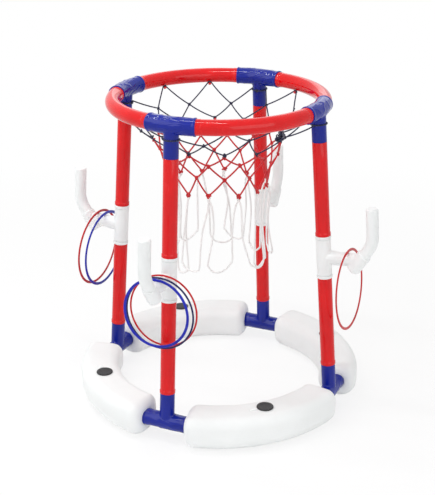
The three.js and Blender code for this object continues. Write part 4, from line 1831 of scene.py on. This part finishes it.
class CordWork:
    """Laid cords and knots of one colour, gathered in one shell."""

    SIDES = 9
    STEP = 0.0012
    LAY = 0.009
    PLIES = 3
    PLY_DEPTH = 0.12
    SAG = 0.03
    DRIFT = 0.02
    QUARTER_SLACK = 0.75
    KNOT_STEPS = 30
    KNOT_REACH = 3
    KNOT_HEIGHT = 1.15
    KNOT_DEPTH = 0.9
    TAIL_DROOP = (-0.6, 0.3)
    TAIL_BEND_SHARE = 0.5
    TAIL_SWERVE = 0.5
    TAIL_END_SHARE = 0.6

    def __init__(self, radius: float, seed: int) -> None:
        """Starts an empty piece of work.

        Args:
            radius: The cord's radius in metres.
            seed: Picks the slack, the knots' turns and the tails.
        """
        self.radius = radius
        self.shell = Shell()
        self.chance = random.Random(seed)

    def reach(self, start: float, angle: float, run: float) -> float:
        """Radius of the twisted plies.

        Args:
            start: Where in its twist the cord starts.
            angle: Angle round the cord.
            run: Length along the cord.

        Returns:
            The radius in metres.
        """
        twist = TURN * (run / self.LAY + start)
        return self.radius * (1 + self.PLY_DEPTH * math.cos(self.PLIES * (angle - twist)))

    def cord(self, route: Sequence[Vector]) -> None:
        """Adds a cord along a smooth curve.

        Args:
            route: Points that the curve goes through.
        """
        points = smooth_route(route, self.STEP)
        rings = swept(points, partial(self.reach, self.chance.random()), self.SIDES)
        self.shell.loft(rings, caps=Caps.BOTH)

    def loop(self, path: Sequence[Vector]) -> None:
        """Adds a closed cord through points."""
        rings = swept([*path, path[0]], partial(self.reach, 0.0), self.SIDES)
        self.shell.loft(rings[:-1], looped=True)

    def span(self, start: Vector, end: Vector) -> None:
        """Adds a cord between two knots with a little slack.

        Args:
            start: The first knot.
            end: The last knot.
        """
        length = (end - start).length
        aside = Vector((self.chance.uniform(-1, 1), self.chance.uniform(-1, 1), 0))
        lean = aside * self.DRIFT * length
        down = Vector((0, 0, -self.SAG * length))
        middle = (start + end) / 2
        near, far = (
            middle.lerp(knot, 0.5) + (down + lean) * self.QUARTER_SLACK for knot in (start, end)
        )
        self.cord([start, near, middle + down + lean, far, end])

    def knot(self, place: Vector, normal: Vector, size: float) -> None:
        """Adds a tight knot, a small closed overhand turn of cord.

        Args:
            place: Its middle.
            normal: The direction that it faces.
            size: Its reach from the middle.
        """
        across = normal.cross(Vector((0, 0, 1))).normalized()
        up = across.cross(normal).normalized()
        spin = self.chance.uniform(0, TURN)
        path = []
        for turn in angles(self.KNOT_STEPS):
            x = math.sin(turn) + 2 * math.sin(2 * turn)
            y = math.cos(turn) - 2 * math.cos(2 * turn)
            deep = -math.sin(3 * turn)
            wide = x * math.cos(spin) - y * math.sin(spin)
            high = x * math.sin(spin) + y * math.cos(spin)
            away = across * wide + up * high * self.KNOT_HEIGHT + normal * deep * self.KNOT_DEPTH
            path.append(place + away * size / self.KNOT_REACH)
        self.loop(path)

    def tail(self, place: Vector, heading: Vector, length: float) -> None:
        """Adds a short cut end that stands out of a knot.

        Args:
            place: The knot.
            heading: The direction that the end starts in.
            length: About how long it is.
        """
        ranges = ((-1, 1), (-1, 1), self.TAIL_DROOP)
        side = Vector([self.chance.uniform(*ends) for ends in ranges])
        bend = place + heading * length * self.TAIL_BEND_SHARE
        onward = (heading + side * self.TAIL_SWERVE).normalized()
        self.cord([place, bend, bend + onward * length * self.TAIL_END_SHARE])


@dataclass(frozen=True)
class Row:
    """A row of knots: its radius and how far it hangs below the rim's middle, in metres."""

    radius: float
    drop: float

    SWAY = 0.009
    SWAY_SCALE = 23.0

    def at(self, step: float) -> Vector:
        """A place on the row.

        Args:
            step: So many meshes from the front leg.

        Returns:
            The place, a little off the even row.
        """
        turn = TURN * step / Net.MESHES
        x, y = self.radius * math.sin(turn), -self.radius * math.cos(turn)
        spot = Vector((x, y, HOOP.rim_height - self.drop))
        return spot + noise.noise_vector(spot * self.SWAY_SCALE) * self.SWAY

    def toward(self, other: Row, length: float) -> Row:
        """Finds a row on the slope towards another one.

        Args:
            other: The other row.
            length: Length along the slope.

        Returns:
            The new row.
        """
        wider, lower = other.radius - self.radius, other.drop - self.drop
        share = length / math.hypot(wider, lower)
        return Row(self.radius + wider * share, self.drop + lower * share)


@dataclass(frozen=True)
class Net:
    """The net, a blue band, a red band and long white loops knotted together; sizes in metres."""

    maker: Maker
    blue_radius: float = 0.0013
    red_radius: float = 0.0016
    white_radius: float = 0.0017
    knot: float = 0.0029
    tail: float = 0.005
    loose_end: float = 0.014
    knot_gap: float = 0.0045
    stub_drop: float = 0.025
    loop_gap: float = 0.008
    loop_spread: float = 0.007
    loop_rise: float = 0.022
    blue_middle: Row = Row(0.156, 0.044)
    blue_low: Row = Row(0.124, 0.073)
    red_high: Row = Row(0.112, 0.1)
    red_middle: Row = Row(0.102, 0.129)
    red_low: Row = Row(0.092, 0.166)
    loops: Row = Row(0.095, 0.334)

    MESHES = 12
    LEAN = math.radians(25)
    SWAY_SEED = 1795888686
    BLUE_SEED = 11
    RED_SEED = 23
    WHITE_SEED = 37
    SMALL_KNOT = 0.8
    LINK_KNOT = 0.9
    LOW_RED_KNOT = 1.3
    SPARE_KNOT = 1.9
    SPARE_KNOTS = 7
    SPARE_MIDDLE = Vector((-0.003, 0.004, 0.006))
    SPARE_REACH = (0.005, 0.004, 0.007)
    LOOSE_STEP = 4
    TIED_STEP = 3
    PEG_STEPS = 24
    STUB_STEPS = 48
    STUB_ROOM = 1.1
    TAIL_OUT = 0.4
    TAIL_UP = 0.2
    LONG_TAIL = 1.2
    LOOP_STEPS = 8
    LOOP_SWAY = 0.3
    # Share of a loop's half width and of its straight part, down one side.
    LOOP_SIDE = ((1.0, 0.15), (0.95, 0.55))

    def normal(self, step: float) -> Vector:
        """Outward from the net's side at a step, leaning up with its slope."""
        turn, flat = TURN * step / self.MESHES, math.cos(self.LEAN)
        return Vector((flat * math.sin(turn), -flat * math.cos(turn), math.sin(self.LEAN)))

    def zigzag(
        self, work: CordWork, upper: Sequence[Vector], lower: Sequence[Vector], lead: int
    ) -> None:
        """Adds two cords from each upper knot to the lower knots beside it.

        Args:
            work: The cords' work.
            upper: The upper knots.
            lower: The lower knots.
            lead: Steps from an upper knot to the lower knot after it.
        """
        for i, start in enumerate(upper):
            work.span(start, lower[(i + lead) % self.MESHES])
            work.span(start, lower[(i + lead - 1) % self.MESHES])

    def add_row(self, work: CordWork, row: Row, lead: float, share: float = 1.0) -> list[Vector]:
        """Adds a row of knots.

        Args:
            work: The cords' work.
            row: The row.
            lead: The first knot's step.
            share: The knots' size as a share of a plain one.

        Returns:
            The knots' places.
        """
        places = [row.at(i + lead) for i in range(self.MESHES)]
        for i, place in enumerate(places):
            work.knot(place, self.normal(i + lead), self.knot * share)
        return places

    def hitch(
        self, work: CordWork, step: float, middle: Vector, across: Vector, radius: float, count: int
    ) -> Ring:
        """Adds a turn of cord round a peg or a stub of the rim.

        Args:
            work: The cords' work.
            step: Where it is on the rim, in meshes from the front leg.
            middle: The turn's middle, seen from the rim's centre.
            across: The turn's second direction, the first one being along the rim.
            radius: The turn's radius.
            count: Points on the turn.

        Returns:
            The turn's points.
        """
        turn = turn_z(TURN * step / self.MESHES)
        lift = Vector((0, 0, HOOP.rim_height))
        ring = []
        for angle in angles(count):
            spoke = Vector((math.cos(angle), 0, 0)) + across * math.sin(angle)
            ring.append(turn @ (middle + spoke * radius) + lift)
        work.loop(ring)
        return ring

    def peg_anchor(self, work: CordWork, step: float) -> tuple[Vector, Vector]:
        """Adds a small loop of cord round a peg of the rim.

        Args:
            work: The cords' work.
            step: Where the peg is, in meshes from the front leg.

        Returns:
            Where the cords to the left and to the right start.
        """
        reach = Tubes.rim_radius + Tubes.peg_length / 2
        slope = Tubes.PEG_SLOPE
        middle = Vector((0, reach * math.cos(slope) - HOOP.rim_radius, -reach * math.sin(slope)))
        across = Vector((0, math.cos(QUARTER - slope), math.sin(QUARTER - slope)))
        radius = Tubes.peg_stem + work.radius
        ring = self.hitch(work, step, middle, across, radius, self.PEG_STEPS)
        return ring[self.PEG_STEPS // 2], ring[0]

    def stub_anchor(self, work: CordWork, step: float) -> tuple[Vector, Vector]:
        """Adds a knotted loop of cord round the blue stub under a rim tee.

        Args:
            work: The cords' work.
            step: Where the stub is, in meshes from the front leg.

        Returns:
            Where the cords to the left and to the right start.
        """
        away = HOOP.rim_radius + self.stub_drop * math.tan(HOOP.leg_tilt)
        middle = Vector((0, -away, -self.stub_drop))
        across = Vector((0, math.cos(HOOP.leg_tilt), -math.sin(HOOP.leg_tilt)))
        radius = HOOP.tube_radius + work.radius * self.STUB_ROOM
        ring = self.hitch(work, step, middle, across, radius, self.STUB_STEPS)
        inner = ring[self.STUB_STEPS // 4]
        work.knot(inner, -self.normal(step), self.knot * self.LINK_KNOT)
        return ring[self.STUB_STEPS // 2 - 1], ring[1]

    def blue_band(self) -> None:
        """Adds the anchors on the rim, a row of crossings and the row that meets the red band."""
        work = CordWork(self.blue_radius, self.BLUE_SEED)
        middle = self.add_row(work, self.blue_middle, 0.5, self.SMALL_KNOT)
        low = self.add_row(work, self.blue_low, 0)
        for i in range(self.MESHES):
            on_leg = i % (self.MESHES // len(Side)) == 0
            left, right = (self.stub_anchor if on_leg else self.peg_anchor)(work, i)
            work.span(left, middle[i - 1])
            work.span(right, middle[i])
        self.zigzag(work, middle, low, 1)
        down = (self.red_high.at(0) - self.blue_low.at(0)).normalized()
        for i, place in enumerate(low):
            work.tail(place, turn_z(TURN * i / self.MESHES) @ down, self.tail)
        work.tail(middle[self.LOOSE_STEP], Vector((0, 0, 1)), self.loose_end)
        self.add_bundle(work, low[self.TIED_STEP])
        self.finish(work, "net_blue_band", BLUE_CORD)

    def add_bundle(self, work: CordWork, place: Vector) -> None:
        """Adds spare cord wound into a few fat knots where the band was tied off.

        Args:
            work: The cords' work.
            place: The knot that it hangs beside.
        """
        wide, deep, high = self.SPARE_REACH
        for turn in angles(self.SPARE_KNOTS):
            away = (wide * math.cos(turn), deep * math.sin(turn), high * math.sin(turn + 1))
            normal = self.normal(self.TIED_STEP + math.sin(turn))
            spot = place + self.SPARE_MIDDLE + Vector(away)
            work.knot(spot, normal, self.knot * self.SPARE_KNOT)

    def red_band(self) -> None:
        """Adds three rows of meshes below the blue band."""
        work = CordWork(self.red_radius, self.RED_SEED)
        top_row = self.blue_low.toward(self.red_high, self.knot_gap)
        top = self.add_row(work, top_row, 0, self.LINK_KNOT)
        high = self.add_row(work, self.red_high, 0.5)
        middle = self.add_row(work, self.red_middle, 0)
        low = self.add_row(work, self.red_low, 0.5, self.LOW_RED_KNOT)
        self.zigzag(work, top, high, 0)
        self.zigzag(work, high, middle, 1)
        self.zigzag(work, middle, low, 0)
        up = Vector((0, 0, 1))
        for i, place in enumerate(low):
            outward = self.normal(i + 0.5)
            sideways = outward.cross(up) * work.chance.choice((-1, 1))
            aside = (outward * self.TAIL_OUT + sideways + up * self.TAIL_UP).normalized()
            work.tail(place, aside, self.tail * self.LONG_TAIL)
            work.tail(place, (outward * self.TAIL_OUT - up).normalized(), self.tail)
        self.finish(work, "net_red_band", RED_CORD)

    def white_loops(self) -> None:
        """Adds the long loops that hang from the lowest red knots."""
        work = CordWork(self.white_radius, self.WHITE_SEED)
        top_row = self.red_low.toward(self.loops, self.knot_gap)
        top = self.add_row(work, top_row, 0.5, self.LINK_KNOT)
        pitch = TURN * self.loops.radius / self.MESHES
        half = (pitch - self.loop_gap) / 2
        for i, start in enumerate(top):
            radius = self.loops.radius + work.chance.uniform(-self.loop_spread, self.loop_spread)
            sway = work.chance.uniform(-self.LOOP_SWAY, self.LOOP_SWAY)
            bottom = self.loops.drop - half - work.chance.uniform(0, self.loop_rise)
            straight = bottom - top_row.drop
            side = [(half * wide, top_row.drop + straight * low) for wide, low in self.LOOP_SIDE]
            stops = [(-along, drop) for along, drop in side]
            for k in range(self.LOOP_STEPS + 1):
                turn = math.pi * k / self.LOOP_STEPS
                stops.append((-half * math.cos(turn), bottom + half * math.sin(turn)))
            stops += reversed(side)
            route = [start]
            for along, drop in stops:
                hang = (drop - top_row.drop) / straight
                route.append(Row(radius, drop).at(i + 1 + along / pitch + sway * hang))
            work.cord([*route, top[(i + 1) % self.MESHES]])
        self.finish(work, "net_white_loops", WHITE_CORD)

    def finish(self, work: CordWork, node: str, finish: CordFinish) -> None:
        """Makes a band's piece, which stands for its CAD node."""
        mesh = work.shell.mesh(node)
        self.maker.piece(f"{node}_cords", mesh, finish, ROOT_BODY, replaces=[node])

    def build(self) -> None:
        """Adds the three bands, with the same sway each run."""
        noise.seed_set(self.SWAY_SEED)
        self.blue_band()
        self.red_band()
        self.white_loops()


@dataclass(frozen=True)
class Lamp:
    """Place, size in metres and power of one area lamp; a level one faces straight down."""

    name: str
    spot: Point
    size: tuple[float, float]
    power: float
    level: bool = False


@dataclass(frozen=True)
class Studio:
    """Camera, pale floor, white surroundings and soft lamps; lengths in metres."""

    camera_spot: Point = (0.8933, -1.9675, 1.1572)
    camera_aim: Point = (-0.0027, -0.0012, 0.3038)
    camera_roll: float = -0.003
    lens: float = 84.98
    sensor: float = 36.0
    nearest: float = 0.05
    farthest: float = 60.0
    floor_width: float = 60.0
    floor_level: float = -0.0004
    shade_start: float = 0.6
    shade_end: float = 1.6
    shade_near: float = 0.78
    world_light: float = 0.56
    lamp_aim: Point = (0, 0, 0.3)
    lamps: tuple[Lamp, ...] = (
        Lamp("key", (-1.6, -2.1, 2.2), (2.3, 2.3), 30.0),
        Lamp("fill", (2.3, -1.5, 1.1), (2.2, 2.0), 18.0),
        Lamp("strip", (-0.56, -0.34, 2.02), (1.75, 0.08), 15.0, level=True),
        Lamp("back", (-0.6, 2.3, 1.5), (2.0, 0.8), 5.0),
    )

    WHITE = (1, 1, 1, 1)
    PALE = (0.95, 0.95, 0.95, 1)

    @staticmethod
    def aim(thing: bpy.types.Object, target: Point, roll: float = 0.0) -> None:
        """Turns a camera or a lamp to face a point.

        Args:
            thing: The camera or the lamp, where it stands.
            target: The point that it faces.
            roll: Its turn about its own axis.
        """
        facing = (Vector(target) - thing.location).to_track_quat("-Z", "Y")
        thing.rotation_mode = "QUATERNION"
        thing.rotation_quaternion = facing @ Quaternion((0, 0, 1), roll)

    def add_camera(self) -> None:
        """Adds the camera at the photograph's viewing angle."""
        data = bpy.data.cameras.new("camera")
        data.lens = self.lens
        data.sensor_width = self.sensor
        data.sensor_fit = "AUTO"
        data.clip_start = self.nearest
        data.clip_end = self.farthest
        camera = new_object("camera", data)
        camera.location = self.camera_spot
        self.aim(camera, self.camera_aim, self.camera_roll)
        bpy.context.scene.camera = camera

    @staticmethod
    def seen_share(nodes: Nodes) -> bpy.types.NodeSocket:
        """One for rays that show the surroundings: from the camera, a gloss or a glass.

        Args:
            nodes: The nodes of the material or of the world.

        Returns:
            The share's socket.
        """
        rays = nodes.add("LightPath").outputs
        seen = nodes.sum("MAXIMUM", rays["Is Camera Ray"], rays["Is Glossy Ray"])
        return nodes.sum("MAXIMUM", seen, rays["Is Transmission Ray"])

    def add_floor(self) -> None:
        """Adds a wide pale floor that keeps the object's shadow."""
        half, level = self.floor_width / 2, self.floor_level
        mesh = bpy.data.meshes.new("floor")
        corners = [(x * half, y * half, level) for x, y in ((-1, -1), (1, -1), (1, 1), (-1, 1))]
        mesh.from_pydata(corners, [], [(0, 1, 2, 3)])
        floor = new_object("floor", mesh)
        material = bpy.data.materials.new("floor")
        material.use_nodes = True
        material.node_tree.nodes.clear()
        nodes = Nodes(material.node_tree)
        matt = nodes.add("BsdfDiffuse", Color=self.PALE).outputs["BSDF"]
        glow = nodes.add("Emission", Color=self.WHITE, Strength=1.0).outputs["Emission"]
        own = nodes.add("TexCoord").outputs["Object"]
        away = nodes.add("VectorMath", own, operation="LENGTH").outputs["Value"]
        fade = nodes.spread(
            away, From_Min=self.shade_start, From_Max=self.shade_end, To_Min=self.shade_near
        )
        share = nodes.sum("MULTIPLY", self.seen_share(nodes), fade)
        shown = nodes.add("MixShader", share, matt, glow).outputs["Shader"]
        nodes.add("OutputMaterial", Surface=shown)
        mesh.materials.append(material)

    def add_world(self) -> None:
        """Adds surroundings that are white where they are seen and light the object softly."""
        world = bpy.data.worlds.new("studio")
        bpy.context.scene.world = world
        world.use_nodes = True
        world.node_tree.nodes.clear()
        nodes = Nodes(world.node_tree)
        light, white = (
            nodes.add("Background", Color=self.WHITE, Strength=strength).outputs["Background"]
            for strength in (self.world_light, 1.0)
        )
        shown = nodes.add("MixShader", self.seen_share(nodes), light, white).outputs["Shader"]
        nodes.add("OutputWorld", Surface=shown)

    def add_lamps(self) -> None:
        """Adds soft area lamps that face the object or the floor below them."""
        for lamp in self.lamps:
            data = bpy.data.lights.new(lamp.name, "AREA")
            data.shape = "RECTANGLE"
            data.size, data.size_y = lamp.size
            data.energy = lamp.power
            light = new_object(lamp.name, data)
            light.location = lamp.spot
            if not lamp.level:
                self.aim(light, self.lamp_aim)

    def build(self) -> None:
        """Sets up the whole studio."""
        bpy.context.scene.view_settings.view_transform = "Standard"
        self.add_camera()
        self.add_floor()
        self.add_world()
        self.add_lamps()


def main() -> None:
    """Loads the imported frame, sets up the studio, dresses the frame and reports each piece."""
    logging.basicConfig(level=logging.INFO, format="%(name)s: %(message)s")
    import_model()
    Studio().build()
    maker = Maker(Finishes())
    for assembly in (Floats, Tees, Tubes, Hooks, TossRings, Net):
        count = len(maker.names)
        assembly(maker).build()
        for name in maker.names[count:]:
            LOG.info("%s: %s", assembly.__name__, name)


if __name__ == "__main__":
    main()
